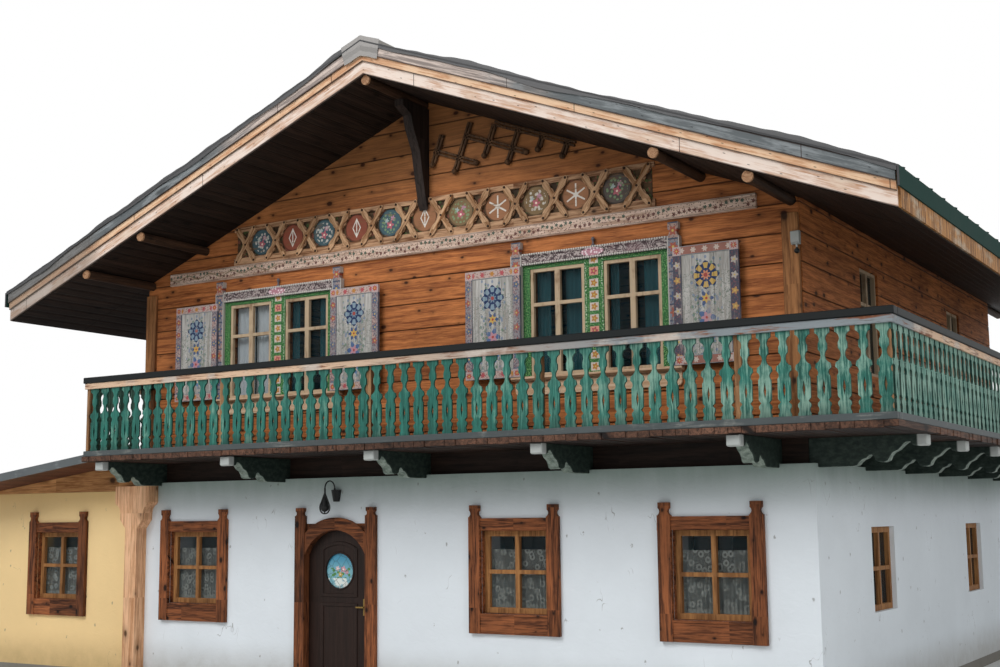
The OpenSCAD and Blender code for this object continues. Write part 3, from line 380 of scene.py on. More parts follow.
def weathered_paint(name, tint, bare, along="z", wear=0.5, streak=10.0):
    """Old paint that has worn off along the grain."""
    f = Finish(name)
    u, v, w = f.grain_place(along)
    fibre = f.noise(f.vector(u * 1.5, v * streak, w * streak), 1.8, 6, 0.65, 0.5)
    patch = f.noise(f.place, 3.2, 5, 0.6)
    worn = (fibre * 0.6 + patch * 0.7).step(0.9 - wear * 0.45, 1.08 - wear * 0.3)
    base = f.shade(f.mix(worn, tint, bare), 0.72 + f.noise(f.place, 1.1, 4, 0.6) * 0.5)
    return f.done(base, 0.55 + 0.25 * worn, fibre * 0.7 - worn * 0.5, 0.002)


def plastered(name, tint, damp_and_shade, grit):
    """Trowelled plaster with damp and painted shade under the balcony and splashed earth at its foot."""
    f = Finish(name)
    fine = f.noise(f.place, 45.0, 4, 0.6)
    trowel = f.streaks(2.2, 2.2, 3.5, 2.2, 3, 0.5, 1.5)
    # Damp mixed with painted shade: the wall turns darker and greener towards its top, under the balcony and
    # the wing roof.
    high = f.z.step(2.3, 3.05) * (0.75 + f.streaks(3, 3, 0.7, 1.5, 5, 0.65) * 0.3)
    scuff = f.streaks(6, 6, 9, 1.5, 6, 0.7)
    crack = abs(f.streaks(2.4, 2.4, 1.1, 1.2, 3, 0.5) - 0.5)
    crack = crack.step(0.004, 0.001) * f.noise(f.place, 1.6, 3, 0.6).step(0.6, 0.66)
    chip = f.cells(f.x + f.y, f.z * 0.6, 1.9) + (fine - 0.5) * 0.06
    low = (1 - f.z.step(0.15, 0.75)) * (0.4 + f.noise(f.place, 4.0, 5, 0.65) * 0.8)
    base = f.coats(
        f.shade(tint, 0.88 + f.noise(f.place, 0.8, 6, 0.6) * 0.2), (high * 0.85, damp_and_shade),
        (scuff.step(0.66, 0.74) * 0.25, grit), (crack * 0.6, "#6f6c66"),
        (chip.step(0.035, 0.015) * scuff.above(0.5) * 0.6, "#77746d"), (low * 0.6, grit),
    )
    return f.done(base, 0.82, fine * 0.35 + trowel * 1.2, 0.006, 0.5)


def sheet_metal(name, tint, rust, nose=None, rough=0.36, shine=0.4, metal=0.35):
    """Dull coated metal with clouds and rust, and a nose of its own colour where one is given."""
    f = Finish(name)
    cloud = f.noise(f.place, 0.7, 6, 0.65)
    run = f.streaks(0.8, 6, 0.8, 1.5, 5, 0.6)
    if nose is not None:
        tint = f.mix(f.y.below(ROOFING_Y + 0.012), tint, nose)
    base = f.shade(tint, 0.65 + cloud * 0.6)
    base = f.mix((run * cloud).step(0.34, 0.5) * 0.5, base, rust)
    height = f.noise(f.place, 3.0, 2, 0.4)
    return f.done(base, rough + cloud * 0.3, height, 0.01, 0.4, shine=shine, Metallic=metal)


def flower(u, v, radius, petals, seed=0.0):
    """Masks of a painted flower round u = v = 0: its petals and its eye."""
    far = distance(u, v) / radius
    petal = (far - 0.76 - (v.arctan2(u) * petals + seed).cosine() * 0.2).below(0.0)
    return petal, far.below(0.24)


def rosette(f, base, u, v, radius, inks):
    """A scalloped disc with a ring of petals, an inner disc and a rayed eye, painted over base."""
    far = distance(u, v) / radius
    lobes = (v.arctan2(u) * 8).cosine()
    disc, ring, ray, eye = inks
    return f.coats(
        base, ((far - 0.9 - lobes * 0.1).below(0.0), disc),
        (abs(far - 0.66).below(0.2) * lobes.above(-0.35), ring), (far.below(0.42), disc),
        ((far - 0.28 + lobes * 0.08).below(0.0), ray), (far.below(0.15), eye),
    )


def dress(material, *nodes):
    """Gives CAD nodes a finish."""
    for node in nodes:
        piece = NODES[node]
        if not piece.material_slots:
            piece.data.materials.append(material)
        for holder in piece.material_slots:
            holder.material = material


def soften(width, *nodes):
    """Rounds the edges of CAD nodes with modifiers that stay live."""
    for node in nodes:
        piece = NODES[node]
        weld = piece.modifiers.new("Weld", "WELD")
        weld.merge_threshold = 0.0001
        bevel = piece.modifiers.new("Edges", "BEVEL")
        bevel.width = width
        bevel.segments = 1
        bevel.limit_method = "ANGLE"
        bevel.angle_limit = math.radians(40)


def deselect():
    bpy.ops.object.select_all(action="DESELECT")


def only(piece):
    deselect()
    piece.select_set(True)
    bpy.context.view_layer.objects.active = piece


def named(piece, name):
    piece.name = name
    piece.data.name = name
    return piece


def settle(piece, name):
    """Puts a piece's place into its mesh and names it."""
    only(piece)
    bpy.ops.object.transform_apply(location=True, rotation=True, scale=True)
    return named(piece, name)


def added(name, add, **settings):
    """Adds a shape and settles it."""
    deselect()
    add(**settings)
    return settle(bpy.context.object, name)


def shaped_grid(name, columns, rows, place):
    """A sheet whose points are put where place says, from -0.5 to 0.5 across it and up it."""
    deselect()
    bpy.ops.mesh.primitive_grid_add(x_subdivisions=columns, y_subdivisions=rows, size=1)
    piece = bpy.context.object
    for vertex in piece.data.vertices:
        vertex.co = place(vertex.co.x, vertex.co.y)
    return settle(piece, name)


def edited(piece, edit, **settings):
    """Runs an operator on the whole of a piece in edit mode."""
    only(piece)
    bpy.ops.object.mode_set(mode="EDIT")
    bpy.ops.mesh.select_all(action="SELECT")
    edit(**settings)
    bpy.ops.object.mode_set(mode="OBJECT")
    return piece


def rounded(piece, width):
    return edited(piece, bpy.ops.mesh.bevel, offset=width, segments=1)


def cut(piece, co, normal):
    """Takes away what lies on the side that the normal points to, and closes the cut."""
    return edited(piece, bpy.ops.mesh.bisect, plane_co=co, plane_no=normal, use_fill=True, clear_outer=True)


def bar(name, middle, size, bevel=0.004, turn=(0, 0, 0)):
    """A box with rounded edges, turned about its middle."""
    piece = added(
        name, bpy.ops.mesh.primitive_cube_add, size=1, location=middle, rotation=turn, scale=size
    )
    return rounded(piece, bevel) if bevel else piece


def block(name, low, high, bevel=0.004, turn=(0, 0, 0)):
    """A bar between two corners."""
    low, high = Vector(low), Vector(high)
    return bar(name, (low + high) / 2, high - low, bevel, turn)


def modify(piece, kind, **settings):
    only(piece)
    made = piece.modifiers.new(kind.title(), kind)
    for key, value in settings.items():
        setattr(made, key, value)
    bpy.ops.object.modifier_apply(modifier=made.name)
    return piece


def repeat(piece, count, step):
    return modify(
        piece, "ARRAY", count=count, use_relative_offset=False, use_constant_offset=True,
        constant_offset_displace=step,
    )


def copied(piece, name, matrix):
    """A copy with its own mesh, moved by a matrix, with its faces pointing outwards."""
    twin = piece.copy()
    twin.data = piece.data.copy()
    bpy.context.scene.collection.objects.link(twin)
    twin.data.transform(matrix)
    if matrix.determinant() < 0:
        twin.data.flip_normals()
    return named(twin, name)


def joined(name, pieces):
    deselect()
    for piece in pieces:
        piece.select_set(True)
    bpy.context.view_layer.objects.active = pieces[0]
    bpy.ops.object.join()
    return named(bpy.context.object, name)


def hole(piece, low, high):
    cutter = block("cutter", low, high, 0)
    modify(piece, "BOOLEAN", operation="DIFFERENCE", object=cutter, solver="EXACT")
    bpy.data.objects.remove(cutter)


def keep(piece, material, body="house"):
    """Gives a finished piece its finish and its body."""
    piece.data.materials.clear()
    piece.data.materials.append(material)
    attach(piece, body)


def keep_pair(piece, twin_name, matrix, material):
    """Keeps a piece and its copy elsewhere on the house."""
    keep(copied(piece, twin_name, matrix), material)
    keep(piece, material)


ON_BACK = Matrix.Translation((0, HOUSE_D, 0)) @ Matrix.Rotation(math.pi, 4, "Z")
ON_RIGHT = Matrix.Translation((HALF_W, 0, 0)) @ Matrix.Rotation(math.pi / 2, 4, "Z")
MIRRORED = Matrix.Scale(-1, 4, (1, 0, 0))


def roof_slope():
    return math.tan(sizes().roof_pitch)


def roof_underside(x):
    """Height of the roof's underside at a distance from the ridge line."""
    return RIDGE_WALL_Z + 0.0003 - abs(x) * roof_slope()


def upper_window_centres():
    s = sizes()
    return [side * s.pair_x + step * s.pair_step for side in (-1, 1) for step in (-1, 1)]


def wall_boards(name, half_w, centres, gable):
    """Boards of one wall, drawn as on the front wall."""
    s = sizes()
    top = RIDGE_WALL_Z if gable else roof_underside(HALF_W) - GAP
    low, high = s.wall_board_start + GAP, s.wall_board_start + s.wall_board - GAP
    board = block(name, (-half_w, -s.wall_board_t, low), (half_w, 0, high), 0.006)
    repeat(board, math.ceil((top - s.wall_board_start) / s.wall_board), (0, 0, s.wall_board))
    cut(board, (0, 0, FLOOR_Z + 0.001), (0, 0, -1))
    if gable:
        for side in (-1, 1):
            cut(board, (0, 0, RIDGE_WALL_Z - GAP), (side * math.sin(s.roof_pitch), 0, math.cos(s.roof_pitch)))
    else:
        cut(board, (0, 0, top), (0, 0, 1))
    half = s.upper_window_w / 2 + 0.001
    for x in centres:
        hole(board, (x - half, -0.05, s.upper_sill_z - 0.001), (x + half, 0.05, s.upper_head_z + 0.001))
    return board


class CHALET_OT_wall_boards(bpy.types.Operator):
    """Board the timber storey's walls"""

    bl_idname = "chalet.wall_boards"
    bl_label = "Wall boards"

    side_window_y = (2.6, 7.1)

    def execute(self, context):
        s, c = sizes(), colours()
        # The tan below darkens the boards high on the gable as painted shade under the eaves.
        grain = {
            "pitch": s.wall_board, "start": s.wall_board_start, "knots": 2.6, "spread": 0.22,
            "tan": "#93673f",
        }
        front = wood("wall boards along x", c.board_light[:], c.board_dark[:], **grain)
        side = wood("wall boards along y", c.board_light[:], c.board_dark[:], along="y", **grain)
        boards = wall_boards("front_wall_boards", HALF_W - 0.001, upper_window_centres(), True)
        keep_pair(boards, "back_wall_boards", ON_BACK, front)
        centres = [y - HOUSE_D / 2 for y in self.side_window_y]
        right = wall_boards("side_boards", HOUSE_D / 2, centres, False)
        right.data.transform(ON_RIGHT @ Matrix.Translation((HOUSE_D / 2, 0, 0)))
        right.name = "right_wall_boards"
        keep_pair(right, "left_wall_boards", MIRRORED, side)
        dress(front, "upper_front_wall", "upper_back_wall")
        # Painted shade: the floor edge is near-black for the shade under the balcony.
        dress(wood("floor edge", "#33241c", "#17100c"), "upper_floor")
        dress(side, "upper_left_wall", "upper_right_wall")
        dress(wood("corner posts", "#bd8352", "#74492a", along="z", knots=1.8), "corner_posts")
        soften(0.006, "corner_posts")
        return {"FINISHED"}


class CHALET_OT_roof(bpy.types.Operator):
    """Board the roof's underside, lay its sheets and finish its edges"""

    bl_idname = "chalet.roof"
    bl_label = "Roof"

    def execute(self, context):
        s, c = sizes(), colours()
        slant = math.cos(s.roof_pitch)
        # The near-black soffit colours are painted shade under the eaves.
        soffit = wood(
            "soffit boards", c.soffit_light[:], c.soffit_dark[:], along="y",
            across=lambda f: abs(f.x) / slant, pitch=s.soffit_board, knots=1.3, spread=0.4, dirt=0.35,
        )
        dress(soffit, "roof_left", "roof_right")
        self.soffit(soffit)
        sheet = sheet_metal("roof sheets", c.roof[:], "#3d3a30", "#4f4f50", rough=0.62, shine=0.1, metal=0.0)
        dress(sheet, "roofing")
        self.seams(sheet)
        dress(sheet_metal("ridge sheet", "#a19d96", "#7d5f49", "#8b8885"), "ridge_cover")
        for node, tint, bare, first_joint in (
            ("verge_top_boards", c.grey_wood[:], "#8f9496", 0.4),
            ("verge_middle_boards", c.peach[:], "#b3754a", 1.3),
            ("verge_lower_boards", "#ead8cb", "#b98560", 2.6),
        ):
            dress(self.edge_paint(node, tint, bare, first_joint), node)
        grey = weathered_paint("grey wing board", c.grey_wood[:], "#8f9496", "x", 0.5, 16.0)
        dress(grey, "wing_verge_board")
        dress(self.eave_paint(), "eave_boards")
        dress(self.purlin_wood(), "purlins")
        self.verge_sheet()
        self.ridge_plate()
        return {"FINISHED"}

    def soffit(self, material):
        s = sizes()
        sine, cosine = math.sin(s.roof_pitch), math.cos(s.roof_pitch)
        step = Vector((cosine, 0, -sine)) * s.soffit_board
        half_t = s.wall_board_t / 2
        for region, y0, y1, first in (
            ("front", VERGE_Y + GAP, -0.014, 0), ("back", HOUSE_D + 0.014, HOUSE_D - VERGE_Y - GAP, 0),
            ("side", -0.012, HOUSE_D + 0.012, HALF_W + 0.014),
        ):
            count = math.floor((EAVE_X - GAP - first) / cosine / s.soffit_board)
            middle = Vector((EAVE_X, 0, roof_underside(EAVE_X))) - step * count + step / 2
            middle = (middle.x - half_t * sine, (y0 + y1) / 2, middle.z - half_t * cosine)
            size = (s.soffit_board - 0.003, y1 - y0, s.wall_board_t)
            boards = bar(f"soffit_{region}_right", middle, size, turn=(0, s.roof_pitch, 0))
            repeat(boards, count, step)
            keep_pair(boards, f"soffit_{region}_left", MIRRORED, material)

    def seams(self, material):
        s = sizes()
        slant = math.cos(s.roof_pitch)
        foot, thick, inset = EAVE_X + 0.03, 0.014, 0.3
        x = (foot + RIDGE_HALF) / 2
        z = ROOFING_TOP - x * roof_slope() + s.seam_h / 2 / slant
        seam = bar(
            "roof_seams_right", (x, ROOFING_Y + inset, z), ((foot - RIDGE_HALF) / slant, thick, s.seam_h),
            turn=(0, s.roof_pitch, 0),
        )
        count = math.floor((HOUSE_D - 2 * ROOFING_Y - inset - 0.1) / s.seam_pitch) + 1
        repeat(seam, count, (0, s.seam_pitch, 0))
        keep_pair(seam, "roof_seams_left", MIRRORED, material)

    def edge_paint(self, node, tint, bare, first_joint):
        """Paint in streaks along the slope, with nails, and a dark line of painted shade at each edge of the
        board.
        """
        low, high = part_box(node)
        top, foot = high.z, low.z + high.x * roof_slope()
        f = Finish(node.replace("_", " "))
        across = f.z + abs(f.x) * roof_slope()
        fibre = f.noise(f.vector(f.x * 1.2, f.y * 8, across * 26), 1.6, 6, 0.65, 0.4)
        patch = f.noise(f.vector(f.x * 1.4, f.y, across * 4), 1.3, 4, 0.6)
        worn = (fibre * 0.6 + patch * 0.8).step(0.62, 0.84)
        base = f.coats(tint, (worn, bare), (patch.step(0.5, 0.7) * 0.5, toned(tint, 1.35)))
        nail = f.cells(f.x, across * 3.0, 2.6).step(0.05, 0.03)
        base = f.shade(base, 1 - nail * 0.7)
        spacing = 3.6
        joint = (abs(((f.x - first_joint) / spacing).fract() - 0.5) * spacing).below(0.005)
        if node == "verge_top_boards":
            near_ridge = (abs(f.x) + (patch - 0.5) * 1.5).step(2.9, 1.6)
            base = f.coats(
                base, (near_ridge * 0.85, f.mix(fibre.step(0.4, 0.6), "#8d7f78", "#d9c6ba")),
                ((patch + fibre * 0.4).step(0.78, 0.9) * 0.8, "#2f3234"),
            )
        # Painted shade: dark lines along the top and the foot of the board, where the layer above shades it,
        # mixed below with the real dark joints.
        dark = (across - top + 0.022).step(0, 0.008) + (foot + 0.014 - across).step(0, 0.008)
        grey = (f.x + 4.9).step(0.25, -0.25) * 0.55
        base = f.coats(base, ((dark + joint) * 0.85, "#2e1d17"), (grey, "#6d6660"))
        return f.done(base, 0.6, fibre - nail, 0.002)

    def eave_paint(self):
        """The eave boards, with dark runs of water down them."""
        f = Finish("eave boards")
        runs = f.streaks(3, 11, 0.8, 1.7, 6, 0.75, 0.2)
        patch = f.streaks(1, 1.6, 3, 1.0, 5, 0.65)
        base = f.coats(
            "#593719", (runs.step(0.36, 0.6), "#bd8750"), ((patch + runs * 0.3).step(0.66, 0.86), "#b9ab97"),
            (runs.step(0.44, 0.36) * 0.7, "#3a2413"),
        )
        return f.done(base, 0.62, runs, 0.003)

    def purlin_wood(self):
        """Painted shade: dark along the shafts, for the shade under the roof, and pale where the ends are
        sawn.
        """
        low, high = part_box("purlins")
        # Painted shade: the shafts get dark brown wood.
        f, base, height = grained("purlins", "#4f3828", "#2a1c14", along="y", knots=1.5, spread=0.1)
        end = 0.03
        sawn = f.y.below(low.y + end) + f.y.above(high.y - end)
        rings = f.streaks(3, 0, 3, 2.0, 3, 0.5, 1.0)
        base = f.mix(sawn, base, f.mix((rings * 12).fract(), "#b18a69", "#80583c"))
        return f.done(base, 0.65, height, 0.003)

    def ridge_plate(self):
        """A grey plate folded over the front of the ridge."""
        rows = 4

        def place(across, up):
            row = round((up + 0.5) * rows)
            x = across * 2 * (RIDGE_HALF - 0.012 * row)
            dent = 0.004 * math.sin(x * 31 + row)
            return (
                x, ROOFING_Y + (0.0004 if row < 3 else 0.012),
                CAD_BOX[1][2] - 0.004 - abs(x) * roof_slope() * 0.9 - 0.066 * row + dent * (row > 0),
            )

        piece = shaped_grid("ridge_plate", 12, rows, place)
        modify(piece, "SOLIDIFY", thickness=0.003, offset=0)
        piece.data.transform(Matrix.Translation((0, 0.0018, 0)))
        keep(piece, sheet_metal("ridge plate", "#8b8885", "#6a4c3a"))

    def verge_sheet(self):
        """The sheet on the roof's front edge, which has lifted here and there."""
        half = EAVE_X + 0.02
        rows = 3
        random.seed(4)

        def bumps(count, *spans):
            """The places, widths and heights of bumps along the edge."""
            return [[random.uniform(*span) for span in ((-half, half), *spans)] for _ in range(count)]

        def highest(bumps_along, x):
            return max(h * math.exp(-((x - at) / w) ** 2) for at, w, h in bumps_along)

        lifts = bumps(16, (0.3, 0.7), (0.01, 0.055))
        sags = bumps(14, (0.25, 0.6), (0.01, 0.06))

        def place(across, up):
            x = across * 2 * half
            lift = highest(lifts, x) + 0.005 * math.sin(x * 9.0) + 0.003 * math.sin(x * 23.0)
            edge = ROOFING_TOP - abs(x) * roof_slope()
            places = (
                (ROOFING_Y + 0.001, edge - 0.035 - highest(sags, x) + 0.3 * lift),
                (ROOFING_Y + 0.001, edge + 0.6 * lift), (ROOFING_Y + 0.002, edge + 0.006 + lift),
                (ROOFING_Y + 0.2, edge + 0.004),
            )
            return x, *places[round((up + 0.5) * rows)]

        piece = shaped_grid("verge_sheet", 260, rows, place)
        modify(piece, "SOLIDIFY", thickness=0.003, offset=-1)
        keep(piece, sheet_metal("verge sheet", "#4c4c4d", "#9c7a68"))


class CHALET_OT_plaster(bpy.types.Operator):
    """Finish the plastered walls, the slab and the wing"""

    bl_idname = "chalet.plaster"
    bl_label = "Plaster"

    def execute(self, context):
        c = colours()
        # Each row's third colour is damp at the top of the wall mixed with painted shade under the balcony.
        for name, tint, damp_and_shade, grit, nodes in (
            ("white plaster", c.plaster[:], "#66806f", "#8b7f6b",
             ("front_wall_left", "front_wall_right", "front_wall_over_door", "left_wall", "right_wall",
              "back_wall")),
            ("ochre plaster", c.ochre[:], "#e0ba7a", "#8f7a52",
             ("wing_front_wall", "wing_side_wall", "wing_back_wall")),
            ("slab", "#8f8d88", "#8f8d88", "#6d665a", ("ground_slab",)),
        ):
            dress(plastered(name, tint, damp_and_shade, grit), *nodes)
        dress(wood("wing timber", "#dca36a", "#9a6337", knots=1.6), "wing_beam")
        dress(wood("wing post", "#f2c39b", "#b98259", along="z", knots=1.8), "wing_post")
        boards = wood("wing roof boards", "#7a4a35", "#4a2c20", along="y", pitch=0.18, across=lambda f: f.x)
        dress(boards, "wing_roof")
        soften(0.006, "wing_post", "wing_beam")
        return {"FINISHED"}


class CHALET_OT_ground_windows(bpy.types.Operator):
    """Finish the ground-floor windows and hang their lace curtains"""

    bl_idname = "chalet.ground_windows"
    bl_label = "Ground-floor windows"

    centres = (-4.08, 1.42, 4.08, -7.02)

    def execute(self, context):
        s = sizes()
        stain = wood(
            "surrounds", colours().surround[:], "#3a1e13", along=self.board_grain, knots=2.6, spread=0.45,
            dirt=0.4, lines=1.15,
        )
        dress(stain, "window_surrounds", "door_frame")
        soften(0.006, "window_surrounds", "door_frame")
        dress(wood("casements", "#b5814f", "#734a2a", along="z"), "ground_casements")
        soften(0.004, "ground_casements")
        self.linings(stain)
        dress(self.glass(), "ground_glass", "upper_glass")
        lace = self.lace()
        half = 0.47
        low, high = s.ground_sill_z + 0.03, s.ground_sill_z + 0.8
        for number, x in enumerate(self.centres, 1):
            curtain = hung_cloth(f"lace_curtain_{number}", x - half, x + half, 0.06, low, high, 17)
            keep(curtain, lace)
        return {"FINISHED"}

    def board_grain(self, f):
        """Upright on the posts, level on the boards above and below each opening."""
        level = 0.0
        for x in (*self.centres, DOOR_X):
            level = abs(f.x - x).below(sizes().ground_window_w / 2 + 0.004) + level
        return (
            level * f.x + (1 - level) * f.z, level * f.y + (1 - level) * f.x,
            level * f.z + (1 - level) * f.y,
        )

    def linings(self, material):
        """Thin boards that line the reveals in front of the casements."""
        s = sizes()
        t, half = 0.007, s.ground_window_w / 2
        low, high = s.ground_sill_z, s.ground_head_z
        boards = [
            block("lining", (x + x0, MASONRY_Y + 0.001, z0), (x + x1, -0.0405, z1), 0.001)
            for x in self.centres
            for x0, x1, z0, z1 in (
                (-half, t - half, low, high), (half - t, half, low, high),
                (-half, half, high - t, high), (-half, half, low, low + t),
            )
        ]
        keep(joined("window_linings", boards), material)

    def glass(self):
        f = Finish("window glass")
        wave = f.noise(f.place, 2.5, 2, 0.4)
        base = f.shade(colours().glass[:], 0.7 + wave * 0.6)
        clear = 0.2 + f.y.above(0.4) * 0.72
        return f.done(base, 0.05 + wave * 0.06, wave, 0.004, 0.15, shine=0.3, Alpha=clear)

    def lace(self):
        f = Finish("lace")
        threads = f.cells(f.x, f.z, 120.0, "DISTANCE_TO_EDGE")
        motif = f.cells(f.x * 1.1, f.z, 9.0)
        dense = motif.step(0.4, 0.32) * motif.step(0.12, 0.2)
        scallop = abs(f.z - sizes().ground_sill_z - 0.08).below(0.035)
        solid = 0.26 + (1 - threads.step(0.06, 0.16)) * 0.5 + dense * 0.5 + scallop * 0.4
        fold = f.streaks(9, 0, 1.2, 1.6, 4, 0.6)
        base = f.shade("#c3c7c0", 0.6 + 0.15 * motif + fold * 0.5)
        return f.done(base, 0.9, Alpha=solid.step(0.1, 0.9))


def hung_cloth(name, x0, x1, y, z0, z1, folds):
    """A curtain with soft folds, deeper towards its foot."""
    depth = 0.012

    def place(across, up):
        across, down = across + 0.5, 0.5 - up
        wave = math.sin(across * folds * math.tau + 0.6 * math.sin(across * 17.0))
        side = math.sin(across * folds * math.tau * 2) * 0.002
        return (
            x0 + (x1 - x0) * across + side, y + depth * wave * (0.6 + 0.4 * down),
            z1 - (z1 - z0) * down - 0.004 * (1 + wave) * down,
        )

    piece = shaped_grid(name, folds * 8, 10, place)
    bpy.ops.object.shade_smooth()
    return piece


class CHALET_OT_upper_windows(bpy.types.Operator):
    """Paint the upper windows and their shutters, and hang their curtains"""

    bl_idname = "chalet.upper_windows"
    bl_label = "Upper windows"

    rose, amber, straw = "#b2555a", "#b8803f", "#c8b063"

    def execute(self, context):
        dress(weathered_paint("sash paint", colours().sash[:], "#7d5c42", wear=0.6), "upper_sashes")
        soften(0.004, "upper_sashes")
        dress(self.green_boards(), "upper_window_boards")
        dress(self.post_paint(), "upper_window_posts")
        painted = self.shutter_paint()
        dress(painted, "shutters")
        soften(0.004, "upper_window_posts", "shutters")
        self.beads()
        self.planks(painted)
        self.curtains()
        return {"FINISHED"}

    def beads(self):
        """Pale beads along the top and the foot of the lintels."""
        s = sizes()
        pitch = 0.034
        count = math.floor(2 * (s.pair_step + s.upper_window_w / 2 + 0.1) / pitch)
        rows = []
        for side in (-1, 1):
            start = side * s.pair_x - (count - 1) / 2 * pitch
            for z, y in ((s.upper_head_z + 0.062, -0.079), (s.upper_head_z + 0.19, -0.083)):
                bead = added(
                    "bead", bpy.ops.mesh.primitive_uv_sphere_add, segments=8, ring_count=5, radius=0.0135,
                    location=(start, y, z),
                )
                rows.append(repeat(bead, count, (pitch, 0, 0)))
        material = weathered_paint("bead paint", "#dcd8d0", "#8f8a86", "x", 0.2)
        keep(joined("lintel_beads", rows), material)

    def planks(self, material):
        """Three planks in the panel of each shutter."""
        width, gap = SHUTTER_PANEL_W, 0.003
        front, back = SHUTTER_LOW.y + 0.007, SHUTTER_LOW.y + 0.0135
        low, high = SHUTTER_LOW.z + SHUTTER_RIM + gap, SHUTTER_HIGH.z - SHUTTER_RIM - gap
        planks = []
        for x in (-SHUTTER_X[1], -SHUTTER_X[0], *SHUTTER_X):
            left, right = x - width / 2 + gap, x - width / 6 - gap / 2
            plank = block("plank", (left, front, low), (right, back, high), 0.003)
            planks.append(repeat(plank, 3, (width / 3, 0, 0)))
        keep(joined("shutter_planks", planks), material)

    def green_boards(self):
        """Speckled green with a chain of flowers down the middle board."""
        s = sizes()
        f = Finish("green boards")
        across = abs(f.x) - s.pair_x
        number, u = spaced(f.z - s.upper_sill_z, 0.15)
        chance = f.random(number + 0.5)
        speck = f.cells(f.x, f.z, 48.0).step(0.36, 0.2)
        crumb = f.cells(f.x + 3.7, f.z, 39.0).step(0.36, 0.2)
        beads = f.cells(f.x, f.z, 42.0).step(0.3, 0.2)
        inside = abs(across).below(0.062)
        rim = abs(abs(across) - 0.118).below(0.012)
        petal, eye = flower(across, u, 0.05, 5.0)
        base = f.coats(
            f.mix(speck * 0.75, "#34703a", "#8fb878"), (crumb * 0.85, "#1a3f27"),
            (inside * abs(u).below(0.052), f.mix(chance.above(0.5), "#d79a86", "#cfc2b8")),
            (petal * inside, f.mix(chance.above(0.35), self.rose, self.amber)), (eye * inside, self.straw),
            (rim * beads, "#d8dccd"),
        )
        return f.done(f.shade(base, 0.75 + f.noise(f.place, 3.0, 4) * 0.45), 0.6, speck, 0.002)

    def post_paint(self):
        """Posts and lintels: mauve-grey with a row of flowers and beaded edges."""
        s = sizes()
        f = Finish("painted posts")
        half = s.pair_step + s.upper_window_w / 2 + GREEN_BOARD_W + POST_HALF
        across = abs(abs(f.x) - s.pair_x) - half
        number, u = spaced(f.z - 4.1, 0.2)
        chance = f.random(number + f.x.above(0.0) * 5 + 0.5)
        petal, eye = flower(across, u, 0.066, 6.0)
        post = f.coats(
            f.mix(f.noise(f.place, 5.0, 3).step(0.4, 0.6), "#7f838b", "#ab9084"),
            (f.cells(across, f.z, 30.0).step(0.34, 0.22) * 0.7, "#6b4d50"), (abs(u).above(0.09), "#474f60"),
            (petal, f.mix(chance.above(0.4), "#a55c4b", "#515e7b")), (eye, self.straw),
            (abs(across).above(0.066), "#b9b4ae"),
        )
        swirl = f.streaks(4.5, 0, 6, 1.3, 2, 0.5, 2.0)
        carve = abs((swirl * 5).fract() - 0.5) * 2
        spread = abs(abs(f.x) - s.pair_x) / 0.16
        rise = (f.z - LINTEL_Z) / 0.05
        bloom = f.cells(f.x, f.z, 24.0).step(0.2, 0.4)
        apron = f.z.below(APRON_TOP)
        ply = f.streaks(1.2, 0, 16, 1.6, 5, 0.6)
        grain = f.streaks(12, 12, 4, 1.5, 6, 0.65)
        base = f.coats(
            f.mix(carve.step(0.35, 0.6), "#4c4042", "#b3a6a2"),
            (f.cells(f.x, f.z, 30.0).step(0.34, 0.2) * 0.7, "#584448"),
            (f.noise(f.place, 2.0, 3).step(0.5, 0.62) * 0.5, "#7d5f63"),
            ((spread * spread + rise * rise).below(1.0), f.mix(bloom, "#e9d9dc", "#b8828e")),
            (abs(f.z - LINTEL_Z).above(0.062), "#6d666a"),
            (apron, f.mix(ply.step(0.35, 0.7), "#dcbfa0", "#b98f6c")),
            (abs(across).below(0.082) * (1 - apron), post),
            ((grain + f.noise(f.place, 4.0) * 0.5).step(0.86, 1.0) * 0.7, "#a39a90"),
        )
        return f.done(base, 0.6, grain + carve, 0.003)

    def shutter_paint(self):
        """Shutters: flowers on the frame, and pale boards with speckled edges inside it."""
        s = sizes()
        f = Finish("painted shutters")
        low, high = SHUTTER_LOW.z, SHUTTER_HIGH.z
        inner, outer = SHUTTER_X
        near = abs(f.x).below(s.pair_x)
        daub = (f.noise(f.place, 22.0, 3) - 0.5) * 0.016
        across = abs(f.x) - (near * inner + (1 - near) * outer)
        up = f.z - (low + high) / 2
        height = (high - low) / 2
        stile = abs(across).above(SHUTTER_PANEL_W / 2)
        rail = abs(up).above(height - SHUTTER_RIM)
        last = f.x.above(s.pair_x)
        grain = f.streaks(18, 18, 1.4, 1.6, 6, 0.65)
        middle = height - SHUTTER_RIM / 2
        panel = self.shutter_panel(f, across, up, last, daub, grain)
        rails = self.shutter_rails(f, across, up, last, middle)
        number, u = spaced(f.z - low, 0.185)
        chance = f.random(number + across.above(0.0) * 7 + f.x.above(0.0) * 3 + 0.5)
        side = abs(across) - 0.365
        petal, eye = flower(side + daub, u + daub, 0.05, 5.0)
        bloom = f.mix(chance.above(0.35), "#a0574e", "#55627c")
        bloom = f.mix(last, bloom, f.mix(chance.above(0.5), "#b98f5a", "#b3a8a0"))
        frame_tint = f.coats(
            f.mix(f.noise(f.place, 4.0, 3).step(0.44, 0.58), "#b59c93", "#8c878a"), (last, "#4b4a55"),
            (f.cells(side, f.z, 34.0).step(0.38, 0.24) * 0.75, "#7d5258"),
            (f.cells(side + 5.1, f.z, 27.0).step(0.3, 0.2) * 0.7, "#414c5e"), (petal, bloom),
            (eye, self.straw), (abs(side).above(0.049), "#55596a"),
        )
        petal, eye = flower(side, abs(up) - middle, 0.046, 8.0)
        corner_tint = f.coats("#b9a6a4", (petal, "#b4533f"), (eye, self.straw))
